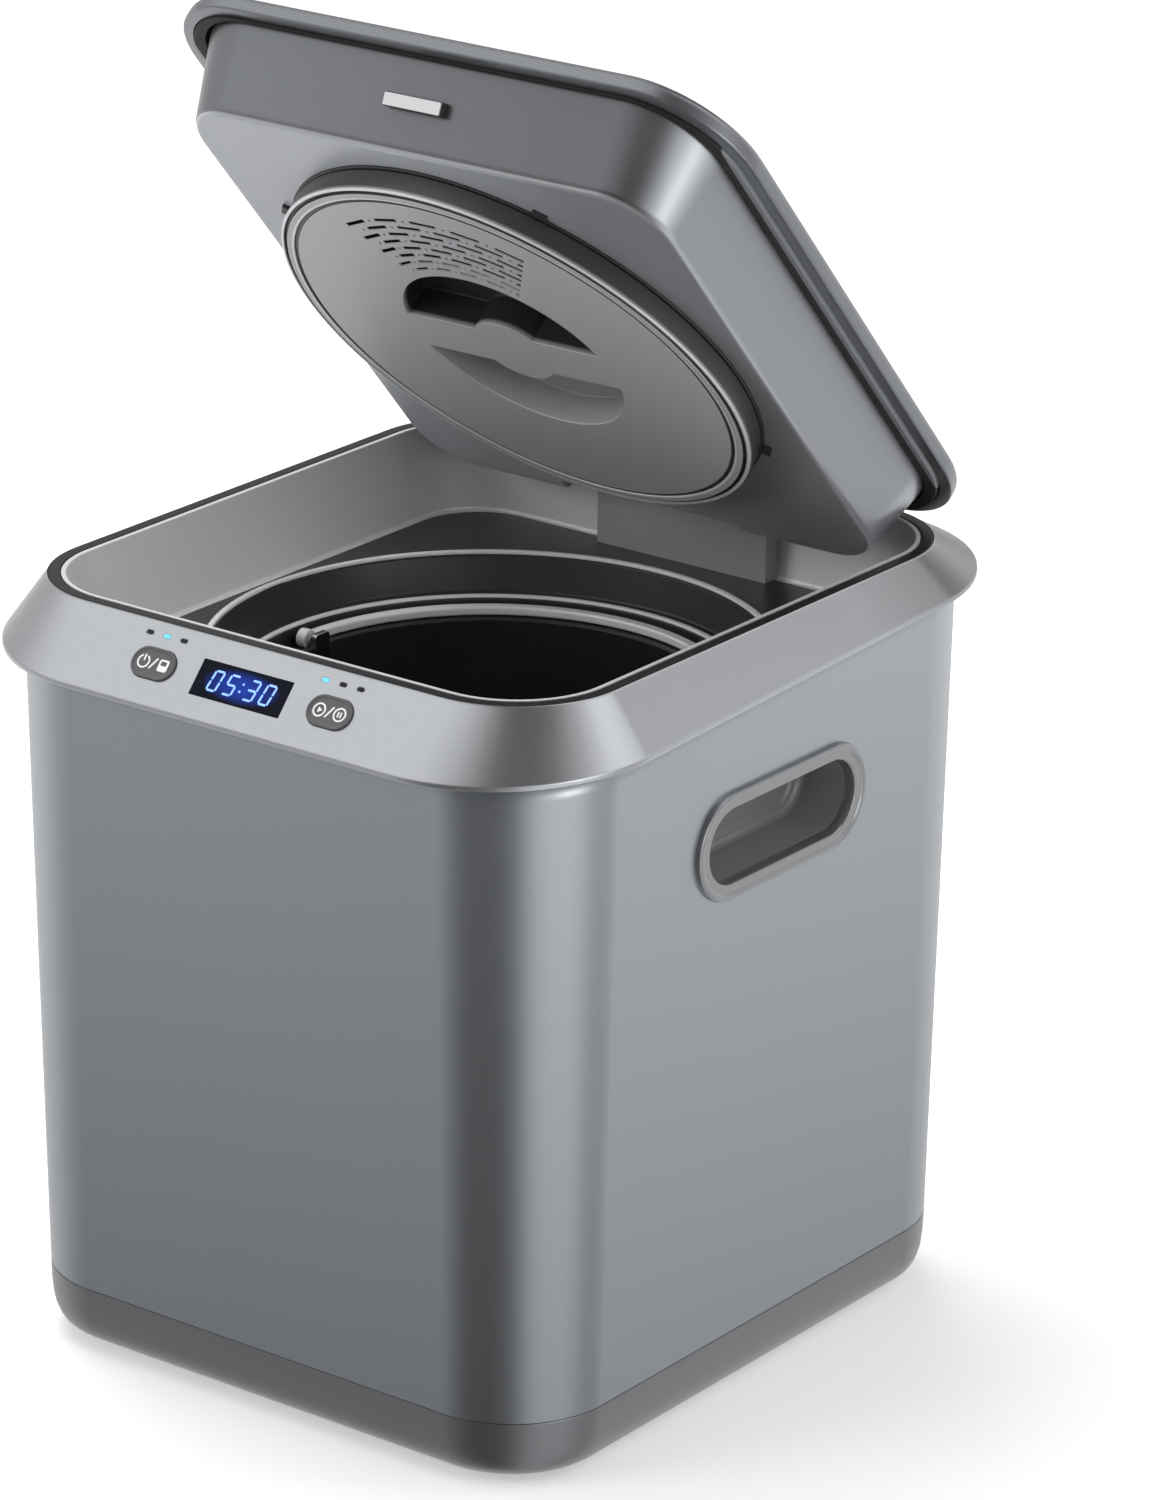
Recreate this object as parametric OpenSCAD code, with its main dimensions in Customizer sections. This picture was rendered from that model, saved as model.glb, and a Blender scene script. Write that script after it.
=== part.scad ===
// Electric food waste composter: drafted housing with a flared rim, a lid on a rear hinge with a
// twist-off filter cover, a lift-out bucket with a bail and an agitator, and a geared drive below.
// Origin on the floor under the middle of the housing, +Z up, front at -Y, millimetres.

/* [Housing] */
// Height of the rubber feet below the base
foot_h = 3; // [2:0.5:6]
// Height of the base tray, from its underside to the seam
base_h = 26; // [22:1:30]
// Height of the shell, from the seam to the rim's lower edge at mid depth
shell_h = 273; // [271:1:281]
// Height from the rim's lower edge at mid depth to the rim's top edge
rim_h = 20.5; // [19:0.5:24]
// Width of the housing at the seam
seam_w = 270; // [268:1:276]
// Depth of the housing at the seam
seam_d = 295; // [292:1:301]
// Corner radius at the seam
seam_r = 44; // [36:1:50]
// Width that the shell gains on each side from the seam to the rim
draft = 5; // [3:0.5:7]
// Wall of the moulded housing parts
wall = 2.5; // [2:0.1:3]
// Radius of the rounded shoulder under the rim
shoulder_r = 9; // [6:0.5:10]

/* [Rim and recess] */
// Distance that the rim's lower edge stands out past the seam on each side
flare_x = 15; // [14:0.5:17]
// Distance that the rim's lower edge stands out past the seam at the front and back
flare_y = 20; // [19:0.5:22]
// Corner radius of the rim's lower edge
rim_r = 69; // [60:1:78]
// Tilt of the rim's lower edge, rising to the back, in degrees
rim_tilt = 2.5; // [1:0.5:3]
// Height of the upright band along the rim's lower edge
rim_band = 2; // [1:0.5:3]
// Distance of the dark lip's outer edge inside the seam on each side
mouth_in_x = 1.7; // [1:0.1:2.5]
// Distance of the dark lip's outer edge inside the seam at the front and back
mouth_in_y = 3.1; // [2.5:0.1:3.5]
// Corner radius of the mouth, over the dark lip
mouth_r = 46; // [43:1:50]
// Width of the dark lip
lip_w = 5.2; // [4.6:0.2:5.6]
// Thickness of the dark lip
lip_h = 2.5; // [2:0.1:2.8]
// Wall of the recess liner
liner_t = 2; // [1.6:0.1:2.4]
// Depth of the recess, from the mouth to the deck
recess_h = 37.4; // [37:0.1:40]
// Width that the recess loses on each side down to the deck
recess_in_x = 7.5; // [6:0.5:8]
// Depth that the recess loses at the front down to the deck
recess_in_front = 12.8; // [12:0.2:13.4]
// Depth that the recess loses at the back down to the deck
recess_in_back = 4.3; // [3.9:0.1:4.7]

/* [Bucket and well] */
// Distance from the middle of the housing forward to the bucket's axis
axis_fwd = 3; // [2:0.5:4]
// Radius of the round opening in the deck
deck_hole_r = 112; // [111:0.5:113]
// Radius of the funnel at the ledge
ledge_r = 108; // [107:0.5:109]
// Height of the funnel, from the deck down to the ledge
funnel_h = 16; // [14:0.5:17]
// Outer radius of the bucket's wall
bucket_r = 91; // [89:0.5:91]
// Wall of the bucket
bucket_t = 2; // [1.6:0.1:2.6]
// Height of the bucket's underside above the chassis plate
bucket_over = 30.1; // [30.1:0.5:36.1]
// Width of the bucket's flange
flange_w = 6.5; // [6:0.5:7]
// Thickness of the bucket's flange
flange_t = 1.8; // [1.4:0.1:2.2]
// Depth of the bucket's flange top below the ledge
flange_drop = 5; // [4.5:0.5:6]
// Radial gap between the bucket and the well
well_gap = 2.5; // [2:0.1:3]
// Width of the bail's flat band
bail_w = 5; // [4.5:0.5:5.5]
// Thickness of the bail's flat band
bail_t = 4; // [3.5:0.5:4.5]
// Radius of the bail's pivot pins
bail_pin_r = 2; // [1.6:0.1:2.2]
// Height that the bucket is lifted by to leave the drive
lift = 35; // [25:1:38]

/* [Drive] */
// Height of the chassis plate's underside above the floor
chassis_z = 62; // [60:0.5:64]
// Thickness of the chassis plate
chassis_t = 3; // [2:0.5:3.5]
// Tooth module of the gear pair
gear_mod = 2;
// Teeth of the pinion on the motor shaft
pinion_teeth = 14;
// Teeth of the output gear
gear_teeth = 46;
// Face width of the gears
gear_h = 12; // [9:0.5:13]
// Radius of the output shaft
shaft_r = 6; // [5:0.5:6.5]
// Radius of the motor shaft
motor_shaft_r = 4; // [3:0.5:5]
// Radius of the motor
motor_r = 30; // [26:1:32]
// Length of the motor
motor_len = 46; // [38:1:50]

/* [Lid] */
// Opening angle of the lid as it stands, in degrees
lid_open = 48.6;
// Distance that the lid reaches past the dark lip on each side
lid_over_x = 3.7; // [2.7:0.1:4.7]
// Distance that the lid stays inside the dark lip's edge at the front and back
lid_in_y = 2.4; // [2.4:0.1:3.4]
// Corner radius of the lid
lid_r = 43; // [40:1:46]
// Height of the lid's side band
lid_band = 7.4; // [6:0.2:9]
// Rise of the lid's top above its side band
lid_crown = 2; // [1:0.5:4]
// Depth of the pan below the side band
pan_h = 34; // [33:0.5:34.5]
// Gap on each side between the closed pan's top and the mouth
pan_gap = 2.1; // [2.1:0.1:3.1]
// Width that the pan loses on each side down to its underside
pan_in = 8; // [8:0.5:10]
// Chamfer along the pan's lower edge
pan_chamfer = 2; // [2:0.5:4]
// Radius of the filter cover
cover_r = 104; // [102:0.5:104]
// Depth of the filter cover below the pan
cover_h = 11.3; // [10.5:0.1:11.5]
// Radius of the round grip field in the filter cover
grip_r = 49; // [46:0.5:52]
// Depth of the finger recesses in the filter cover
grip_h = 14; // [10:0.5:15]
// Height of the filter cartridge behind the cover
filter_h = 18; // [12:1:24]
// Half width of the bar between the finger recesses
grip_bar = 10.5; // [9:0.5:12]
// Turn that unlocks the filter cover, in degrees
twist = 22;
// Radius of the hinge barrel
barrel_r = 5; // [4.5:0.1:5]
// Radius of the hinge pin
pin_r = 2.5; // [2:0.1:2.8]

/* [Panel and handles] */
// Width of the display window
display_w = 44; // [40:1:48]
// Height of the display window along the slope
display_h = 15; // [13:0.5:16]
// Length of the buttons
button_l = 21; // [19:0.5:23]
// Width of the buttons
button_w = 13; // [11:0.5:14]
// Distance from the middle of the panel to each button
button_x = 43.5; // [42:0.5:46]
// Length of the handle opening
handle_l = 95; // [85:1:100]
// Height of the handle opening
handle_h = 30; // [26:1:34]
// Width of the trim ring round the handle opening
handle_trim = 7.5; // [6:0.5:9]
// Height that the trim ring stands proud of the side
handle_proud = 2.2; // [1:0.1:3]
// Depth of the handle pocket
handle_depth = 26; // [20:1:26]
// Distance from the rim's lower edge down to the middle of the handle
handle_down = 61; // [60:1:70]

/* [Hidden] */
$fn = 72;
fit = 0.2;
run_fit = 0.05;
seam_z = foot_h + base_h;
rim_z = seam_z + shell_h;
top_z = rim_z + rim_h;
deck_z = top_z - recess_h;
ledge_z = deck_z - funnel_h;
side_lean = atan(draft / (shell_h - shoulder_r));

rim_w = seam_w + 2 * flare_x;
rim_d = seam_d + 2 * flare_y;
mouth_w = seam_w - 2 * mouth_in_x;
mouth_d = seam_d - 2 * mouth_in_y;

// Outline of the recess: half sizes at the mouth and at the deck, and the slope down to it
mouth_in_w = mouth_w - 2 * (lip_w + liner_t);
mouth_in_d = mouth_d - 2 * (lip_w + liner_t);
mouth_in_r = mouth_r - lip_w - liner_t;
deck_w = mouth_in_w - 2 * recess_in_x;
deck_d = mouth_in_d - recess_in_front - recess_in_back;
deck_cy = (recess_in_front - recess_in_back) / 2;
deck_r = 30;
liner_neck_r = bucket_r + flange_w + 4.5;

// Front slope of the rim, which carries the panel: top edge, lower edge and angle
panel_top_y = -mouth_d / 2;
panel_low_y = -rim_d / 2 * cos(rim_tilt);
panel_low_z = rim_z - rim_d / 2 * sin(rim_tilt) + rim_band;
panel_a = atan2(top_z - panel_low_z, panel_top_y - panel_low_y);
panel_s = 17.5;
led_s = 5.5;
led_pitch = 8.5;
led_l = 4;
led_w = 2;
board_depth = 7.5;

// Bucket, well and drive stack
flange_z = ledge_z - flange_drop;
bucket_z = chassis_z + chassis_t + bucket_over;
bucket_h = flange_z - bucket_z;
bucket_floor = 3;
well_z = bucket_z - 0.3 - wall;
well_r = bucket_r + well_gap;
well_top = flange_z - flange_t - 4;
bail_z = flange_z + 0.3 + bail_t / 2;
bail_r = bucket_r + flange_w - bail_w;
skirt_r = well_r - wall;
heater_h = 3.8;
tunnel_r = 21.5;
tunnel_h = 17;
hub_r = 27;
blade_l = bucket_r - bucket_t - hub_r - 7;
blade_rise = 11;
dog_r = 11;
dog_w = 5;
shaft_top = well_z + wall + 5;
gear_z = chassis_z + chassis_t + 2;
case_z = gear_z + gear_h + 3;
case_wall = 2;
pinion_y = gear_mod * (pinion_teeth + gear_teeth) / 2;
post_x = seam_w / 2 - 43;
post_y = seam_d / 2 - 49.5;
post_r = 7;
screw_r = 1.8;

// Lid, drawn closed, and its hinge
lid_z = top_z + 2;
lid_w = mouth_w + 2 * lid_over_x;
lid_d = mouth_d - 2 * lid_in_y;
hinge_y = lid_d / 2 - 1;
hinge_z = lid_z + 0.9;
hinge_w = 86;
ear_w = 12;
knuckle_w = hinge_w - 2 * ear_w - 1;
pan_z = lid_z - pan_h;
pan_w = mouth_in_w - 2 * pan_gap;
pan_d = mouth_in_d - 3.4;
pan_low_w = pan_w - 2 * pan_in;
pan_low_d = pan_d - 23;
pan_low_cy = 4.4;
pan_r = 34;
pan_low_r = 26;
bay_w = hinge_w + 4;
bay_y = mouth_in_d / 2 - recess_in_back - 11.5;
cover_z = pan_z - cover_h;
spigot_r = cover_r - 3.2;
collar_r = cover_r + 2.2;
lug_h = 2.5;
lug_z = pan_z + 4;
vent_pitch = 4.43;
vent_step = 13.4;
vent_dash = 8.8;

// Handles, fan and inlet
handle_y = 3;
seat = 0.06;
handle_z = rim_z - handle_down;
fan = 60;
fan_x = seam_w / 2 - 67;
fan_zc = 190;
inlet_x = 57 - seam_w / 2;
inlet_zc = 62;

// Rounded rectangle w by d with corner radius r
module rrect(w, d, r) {
    square([w - 2 * r, d], center = true);
    square([w, d - 2 * r], center = true);
    for (x = [-1, 1], y = [-1, 1]) translate([x * (w / 2 - r), y * (d / 2 - r)]) circle(r);
}

// Slab of a rounded rectangle from height z, t thick
module slab(w, d, r, z, t = 0.1, cy = 0) {
    translate([0, cy, z]) linear_extrude(t) rrect(w, d, r);
}

// Obround l by w
module obround(l, w) {
    square([l - w, w], center = true);
    for (x = [-1, 1]) translate([x * (l - w) / 2, 0]) circle(w / 2);
}

module ring(r_out, r_in, z, h) {
    translate([0, 0, z]) difference() {
        cylinder(r = r_out, h = h);
        translate([0, 0, -1]) cylinder(r = r_in, h = h + 2);
    }
}

// Frames: children are drawn with local z outward from the named place
module on_axis() translate([0, -axis_fwd, 0]) children();
module on_panel(x = 0, s = 0)
    translate([0, panel_top_y, top_z]) rotate([panel_a, 0, 0]) translate([x, -s, 0]) children();
module on_side()
    translate([seam_w / 2 + seat + (handle_z - seam_z) * tan(side_lean), handle_y, handle_z])
    rotate([0, side_lean, 0]) rotate([90, 0, 90]) children();
module on_rear(x, z)
    translate([x, seam_d / 2 + (z - seam_z) * tan(side_lean), z])
    rotate([-side_lean, 0, 0]) rotate([90, 0, 180]) children();
module lid_pose()
    translate([0, hinge_y, hinge_z]) rotate([-lid_open, 0, 0])
    translate([0, -hinge_y, -hinge_z]) children();

// Plane through the rim's lower edge, tilted up to the back, with height h above it
module tilted(h = 0) translate([0, 0, rim_z + h]) rotate([rim_tilt, 0, 0]) children();

// Body outline inset by i: at the seam, and at height h from the rim's lower edge
module body_slab(i, h, t = 0.1)
    tilted(h) slab(seam_w + 2 * draft - 2 * i, seam_d + 2 * draft - 2 * i, seam_r + draft - i, 0, t);

// Solid body from the seam up to the shoulder, inset by i
module body_solid(i, z_low, t_top) {
    hull() {
        slab(seam_w - 2 * i, seam_d - 2 * i, seam_r - i, z_low);
        body_slab(i, -shoulder_r);
        body_slab(i + 0.3 * shoulder_r, -0.29 * shoulder_r - 0.8 * t_top);
        body_slab(i + 0.6 * shoulder_r, -0.08 * shoulder_r - t_top);
        body_slab(i + shoulder_r, -t_top - 0.1);
    }
}

module tray_solid(i, z_low, z_top) {
    hull() {
        slab(seam_w - 2 * i - 20, seam_d - 2 * i - 20, seam_r - i - 10, z_low);
        slab(seam_w - 2 * i - 8, seam_d - 2 * i - 8, seam_r - i - 4, z_low + 3.5);
        slab(seam_w - 2 * i - 2, seam_d - 2 * i - 2, seam_r - i - 1, z_low + 10);
        slab(seam_w - 2 * i, seam_d - 2 * i, seam_r - i, z_top - 0.1);
    }
}

module base_tray() {
    color("dimgray") difference() {
        union() {
            difference() {
                tray_solid(0, foot_h, seam_z);
                tray_solid(wall, foot_h + wall, seam_z + 1);
            }
            for (x = [-1, 1], y = [-1, 1])
                translate([x * post_x, y * post_y, foot_h + 1])
                    cylinder(r = post_r, h = chassis_z - foot_h - 1);
        }
        for (x = [-1, 1], y = [-1, 1]) translate([x * post_x, y * post_y, chassis_z - 12])
            cylinder(r = screw_r, h = 20);
    }
}

module feet() {
    color("black") for (x = [-1, 1], y = [-1, 1])
        translate([x * post_x, y * post_y, 0]) cylinder(r1 = 10, r2 = 11, h = foot_h);
}

module base_screws() {
    color("silver") for (x = [-1, 1], y = [-1, 1])
        translate([x * post_x, y * post_y, chassis_z - 10]) {
            cylinder(r = screw_r, h = 10 + chassis_t);
            translate([0, 0, 10 + chassis_t]) cylinder(r = 3.5, h = 2.2);
        }
}

module shell() {
    color("gray") difference() {
        body_solid(0, seam_z, 0);
        body_solid(wall, seam_z - 2 * wall, wall);
        tilted(-wall - 1) slab(seam_w + 2 * draft - 2 * shoulder_r - 4 * wall,
            seam_d + 2 * draft - 2 * shoulder_r - 4 * wall, seam_r + draft - shoulder_r - wall, 0, 9);
        for (m = [0, 1]) mirror([m, 0, 0]) on_side() translate([0, 0, -12]) linear_extrude(20)
            obround(handle_l + handle_trim + 2 * fit, handle_h + handle_trim + 2 * fit);
        on_rear(fan_x, fan_zc) cube([fan + 8.4, fan + 8.4, 20], center = true);
        on_rear(inlet_x, inlet_zc) cube([28.4, 20.4, 20], center = true);
    }
}

// Solid of the flared rim, inset by i on the outside and lowered by d at the top
module rim_solid(i, d, h_low, t_low) {
    hull() {
        tilted(h_low) slab(rim_w - 2 * i, rim_d - 2 * i, rim_r - i, 0, t_low);
        slab(mouth_w + 0.8 - 2 * i + 2 * d, mouth_d + 0.8 - 2 * i + 2 * d, mouth_r + 0.4 - i + d,
            top_z - 0.5 - d, 0.1);
    }
}

// Pocket at the back of the mouth that takes the hinge block
module hinge_notch() translate([-hinge_w / 2 - 1, mouth_in_d / 2 - 12, top_z - 10.4])
    cube([hinge_w + 2, hinge_y + 7 - mouth_in_d / 2 + 12, 30]);

module rim() {
    neck_w = mouth_w - 2 * lip_w;
    neck_d = mouth_d - 2 * lip_w;
    neck_r = mouth_r - lip_w;
    color("silver") difference() {
        rim_solid(0, 0, 0, rim_band);
        rim_solid(3.4, 3.8, wall, 0.1);
        slab(neck_w + 2 * fit, neck_d + 2 * fit, neck_r, top_z - 12, 20);
        slab(mouth_w + 2 * fit, mouth_d + 2 * fit, mouth_r, top_z - lip_h, 20);
        tilted(-1) slab(seam_w + 2 * draft - 2 * shoulder_r - 4 * wall,
            seam_d + 2 * draft - 2 * shoulder_r - 4 * wall, seam_r + draft - shoulder_r - wall, 0, 9);
        hinge_notch();
        on_panel(0, panel_s) cube([display_w + 2 * fit, display_h + 2 * fit, 9], center = true);
        for (x = [-1, 1]) {
            on_panel(x * button_x, panel_s) translate([0, 0, -4]) linear_extrude(8)
                obround(button_l + 2 * fit, button_w + 2 * fit);
            for (k = [-1:1]) on_panel(x * button_x + k * led_pitch, led_s)
                translate([0, 0, -4]) linear_extrude(8) obround(led_l + fit, led_w + fit);
        }
    }
}

module lip() {
    color("black") difference() {
        slab(mouth_w, mouth_d, mouth_r, top_z - lip_h, lip_h);
        slab(mouth_w - 2 * lip_w, mouth_d - 2 * lip_w, mouth_r - lip_w, top_z - lip_h - 1, lip_h + 2);
        hinge_notch();
    }
}

// Solid of the recess, grown by g, from the deck plane lowered by b up to the mouth raised by u
module recess_solid(g, b, u) {
    hull() {
        slab(mouth_in_w + 2 * g, mouth_in_d + 2 * g, mouth_in_r + g, top_z - 0.1 + u);
        slab(deck_w + 2 * g, deck_d + 2 * g, deck_r + g, deck_z - b, 0.1, deck_cy);
    }
}

module liner() {
    color("gray") difference() {
        recess_solid(liner_t - fit / 2, wall, 0);
        recess_solid(0, 0, 0.2);
        on_axis() translate([0, 0, deck_z - 10]) cylinder(r = deck_hole_r + wall + fit / 2, h = 20);
        hinge_notch();
    }
}

module funnel() {
    color("black") on_axis() rotate_extrude() polygon([
        [deck_hole_r, deck_z], [ledge_r, ledge_z], [liner_neck_r, ledge_z],
        [liner_neck_r, well_top], [liner_neck_r + wall, well_top],
        [liner_neck_r + wall, ledge_z - wall], [ledge_r + wall, ledge_z - wall],
        [deck_hole_r + wall, deck_z - wall], [deck_hole_r + wall, deck_z]]);
}

// Side view of the hinge block: foot in front of the back wall, shelf over it, and the ears
module hinge_block() {
    front = bay_y + 3;
    foot_y = mouth_in_d / 2 - recess_in_back - 0.5;
    shelf_z = top_z - 10.2;
    lean = recess_in_back / recess_h;
    module across(w) rotate([90, 0, 90]) linear_extrude(w, center = true) children();
    color("dimgray") difference() {
        union() {
            across(hinge_w) polygon([
                [front, deck_z + fit / 2], [foot_y, deck_z + fit / 2],
                [foot_y + (shelf_z - deck_z) * lean, shelf_z], [hinge_y + 6.5, shelf_z],
                [hinge_y + 6.5, hinge_z - barrel_r - 1.5], [hinge_y - 6.5, hinge_z - barrel_r - 1.5],
                [front, shelf_z]]);
            for (x = [-1, 1]) translate([x * (hinge_w - ear_w) / 2, 0, 0]) across(ear_w) {
                translate([hinge_y, hinge_z]) circle(6.5);
                translate([hinge_y - 6.5, hinge_z - 9]) square([13, 9]);
            }
        }
        translate([0, hinge_y, hinge_z]) rotate([0, 90, 0])
            cylinder(r = pin_r, h = hinge_w + 2, center = true);
    }
}

module hinge_pin() {
    color("silver") translate([0, hinge_y, hinge_z]) rotate([0, 90, 0])
        cylinder(r = pin_r, h = hinge_w, center = true);
}

module handle_cup() {
    color("gray") on_side() difference() {
        union() {
            linear_extrude(handle_proud)
                obround(handle_l + 2 * handle_trim + 2, handle_h + 2 * handle_trim);
            translate([0, 0, -handle_depth - 2]) linear_extrude(handle_depth + 2)
                obround(handle_l + handle_trim, handle_h + handle_trim);
        }
        translate([0, 0, -handle_depth]) linear_extrude(handle_depth + 10)
            obround(handle_l, handle_h);
    }
}
module handle_right() handle_cup();
module handle_left() mirror([1, 0, 0]) handle_cup();

module display_window() {
    color("navy") on_panel(0, panel_s) translate([0, 0, -1.2])
        cube([display_w, display_h, 2.4], center = true);
}

module display_module() {
    h = board_depth - 2.5;
    color("black") on_panel(0, panel_s) translate([0, 0, -2.5 - h / 2])
        cube([display_w - 4, display_h - 3, h - 0.1], center = true);
}

module control_board() {
    color("green") {
        on_panel(0, 13) translate([0, 0, -board_depth - 0.8]) cube([2 * button_x + 35, 22, 1.6], center = true);
        for (x = [-1, 1]) {
            on_panel(x * button_x, panel_s) translate([0, 0, -board_depth + 0.9])
                cube([6, 6, 2], center = true);
            on_panel(x * 57.5, 13) translate([0, 0, -board_depth - 0.1])
                cylinder(r = 2.2, h = board_depth - 3.2);
        }
    }
}

module light_guide(x0) {
    color("lightblue") {
        for (k = [-1:1]) on_panel(x0 + k * led_pitch, led_s) translate([0, 0, -3.5])
            linear_extrude(3.4) obround(led_l, led_w);
        on_panel(x0, led_s) translate([0, 0, -4.3]) cube([2 * led_pitch + led_l, 2.4, 1.8],
            center = true);
    }
}
module light_guide_left() light_guide(-button_x);
module light_guide_right() light_guide(button_x);

module button(x0) {
    color("dimgray") on_panel(x0, panel_s) {
        translate([0, 0, -4.4]) linear_extrude(5.4) obround(button_l, button_w);
        translate([0, 0, -4.6]) linear_extrude(1.2) obround(button_l + 2, button_w + 2);
    }
}
module button_left() button(-button_x);
module button_right() button(button_x);

module catch_magnet() {
    lean = atan(recess_in_front / recess_h);
    h = 21;
    y = -mouth_in_d / 2 + recess_in_front - h * tan(lean) - liner_t / cos(lean) - 0.2;
    color("silver") translate([0, y, deck_z + h]) rotate([lean, 0, 0])
        translate([-10, -5, -4]) cube([20, 5, 8]);
}

module well() {
    color("silver") on_axis() {
        ring(well_r + wall, 14, well_z, wall);
        ring(well_r + wall, well_r, well_z, well_top - well_z);
        ring(liner_neck_r + wall, well_r, well_top - 2, 2);
        ring(16, 14, well_z, wall + 4.5);
    }
}

module well_skirt() {
    z = chassis_z + chassis_t;
    color("silver") on_axis() difference() {
        ring(skirt_r, skirt_r - 2.5, z, well_z - z);
        for (a = [0:45:315]) rotate([0, 0, a]) translate([skirt_r, 0, (z + well_z) / 2])
            rotate([0, 90, 0]) cylinder(r = 6, h = 12, center = true);
    }
}

module heater() {
    color("brown") on_axis() ring(skirt_r - 6, 45, well_z - heater_h, heater_h - fit);
}

module chassis() {
    color("silver") difference() {
        slab(2 * post_x + 20, 2 * post_y + 20, 10, chassis_z, chassis_t);
        for (x = [-1, 1], y = [-1, 1])
            translate([x * post_x, y * post_y, chassis_z - 1]) cylinder(r = screw_r, h = 9);
        on_axis() {
            translate([0, 0, chassis_z - 1]) cylinder(r = 14.9, h = 9);
            translate([0, pinion_y, chassis_z - 1]) cylinder(r = 12, h = 9);
        }
        for (x = [-1, 1]) translate([x * 62, -72, chassis_z - 1]) linear_extrude(9) obround(36, 12);
    }
}

module shaft_bearing() {
    color("goldenrod") on_axis() {
        ring(14.8, shaft_r + run_fit, chassis_z - 12, 12 + chassis_t);
        ring(22, shaft_r + run_fit, chassis_z + chassis_t, 1.4);
    }
}

module gear_case() {
    h = case_z - chassis_z - chassis_t;
    gear_out = gear_mod * gear_teeth / 2 + 4;
    pinion_out = gear_mod * pinion_teeth / 2 + 4;
    module outline(g) {
        circle(gear_out + g);
        translate([0, pinion_y]) circle(pinion_out + g);
        translate([-pinion_out - g, 0]) square([2 * (pinion_out + g), pinion_y]);
    }
    color("silver") on_axis() translate([0, 0, chassis_z + chassis_t]) difference() {
        linear_extrude(h + case_wall) outline(case_wall);
        translate([0, 0, -1]) linear_extrude(h + 1) outline(0);
        cylinder(r = shaft_r + run_fit, h = 40);
    }
}

module motor() {
    color("dimgray") on_axis() translate([0, pinion_y, 0]) difference() {
        union() {
            translate([0, 0, chassis_z - motor_len]) cylinder(r = motor_r, h = motor_len);
            translate([0, 0, chassis_z]) cylinder(r = 11.5, h = chassis_t);
        }
        translate([0, 0, chassis_z - 20]) cylinder(r = motor_shaft_r + run_fit, h = 40);
    }
}

module motor_shaft() {
    color("silver") on_axis() translate([0, pinion_y, chassis_z - 19.5])
        cylinder(r = motor_shaft_r, h = gear_z + gear_h - chassis_z + 20.5);
}

// Spur gear with n straight-flanked teeth, turned by a, on a bore of radius b
module spur(n, a, b) {
    r = gear_mod * n / 2;
    tip = 0.29 * gear_mod;
    root = 1.02 * gear_mod;
    difference() {
        union() {
            cylinder(r = r - 1.1 * gear_mod, h = gear_h);
            for (k = [0:n - 1]) rotate([0, 0, a + k * 360 / n]) linear_extrude(gear_h)
                polygon([[r - 1.3 * gear_mod, -root], [r + 0.85 * gear_mod, -tip],
                         [r + 0.85 * gear_mod, tip], [r - 1.3 * gear_mod, root]]);
        }
        translate([0, 0, -1]) cylinder(r = b, h = gear_h + 2);
    }
}

module pinion() {
    color("goldenrod") on_axis() translate([0, pinion_y, gear_z])
        spur(pinion_teeth, 90 + 180 / pinion_teeth, motor_shaft_r);
}

module output_gear() {
    color("white") on_axis() translate([0, 0, gear_z]) difference() {
        spur(gear_teeth, 90 - 360 / gear_teeth, shaft_r);
        for (a = [30:60:330]) rotate([0, 0, a]) translate([26, 0, -1])
            cylinder(r = 8, h = gear_h + 2);
    }
}

module output_shaft() {
    color("silver") on_axis() {
        translate([0, 0, chassis_z - 16]) cylinder(r = shaft_r, h = shaft_top - chassis_z + 16);
        translate([0, 0, chassis_z - 16]) cylinder(r = 9, h = 3.8);
        translate([0, 0, shaft_top - 5.5]) cylinder(r = dog_r, h = 5.5);
        translate([-dog_r + 0.5, -dog_w / 2, shaft_top - 0.1])
            cube([2 * dog_r - 1, dog_w, 7.1]);
    }
}

module power_board() {
    z = foot_h + wall;
    color("green") translate([-62, -12, 0]) {
        translate([-30, -52, z + 8]) cube([60, 104, 1.6]);
        for (x = [-1, 1], y = [-1, 1]) translate([x * 25, y * 47, z + fit]) cylinder(r = 3, h = 8);
        translate([-20, -40, z + 9.5]) cube([28, 26, 24]);
        for (y = [0, 18, 36]) translate([12, y, z + 9.5]) cylinder(r = 7, h = 20);
        translate([-24, 5, z + 9.5]) cube([16, 30, 14]);
    }
}

module fan_housing() {
    color("black") on_rear(fan_x, fan_zc) translate([0, 0, -wall - fit - 15]) {
        difference() {
            translate([-fan / 2, -fan / 2, 0]) cube([fan, fan, 15]);
            translate([0, 0, -1]) cylinder(r = fan / 2 - 2, h = 17);
        }
        for (a = [30, 150, 270]) rotate([0, 0, a]) translate([0, -2, 0]) cube([fan / 2 - 1, 4, 1.6]);
        cylinder(r = 11, h = 1.6);
        cylinder(r = 2, h = 9);
    }
}

module fan_rotor() {
    color("dimgray") on_rear(fan_x, fan_zc) translate([0, 0, -wall - fit - 15]) {
        difference() {
            translate([0, 0, 2.4]) cylinder(r = 13, h = 10);
            cylinder(r = 2 + run_fit, h = 10);
        }
        for (a = [0:360 / 7:359]) rotate([0, 0, a]) translate([12, 0, 7.4]) rotate([38, 0, 0])
            translate([0, -5, -0.8]) cube([fan / 2 - 15.5, 10, 1.6]);
    }
}

module vent_grille() {
    color("dimgray") on_rear(fan_x, fan_zc) difference() {
        union() {
            translate([0, 0, 0.1]) linear_extrude(1.5) rrect(fan + 14, fan + 14, 6);
            translate([0, 0, -wall / 2 + 0.1]) cube([fan + 8, fan + 8, wall], center = true);
        }
        for (k = [-4:4]) translate([0, k * 6.4, 0]) linear_extrude(12, center = true)
            obround(fan - 6, 3.2);
    }
}

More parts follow.
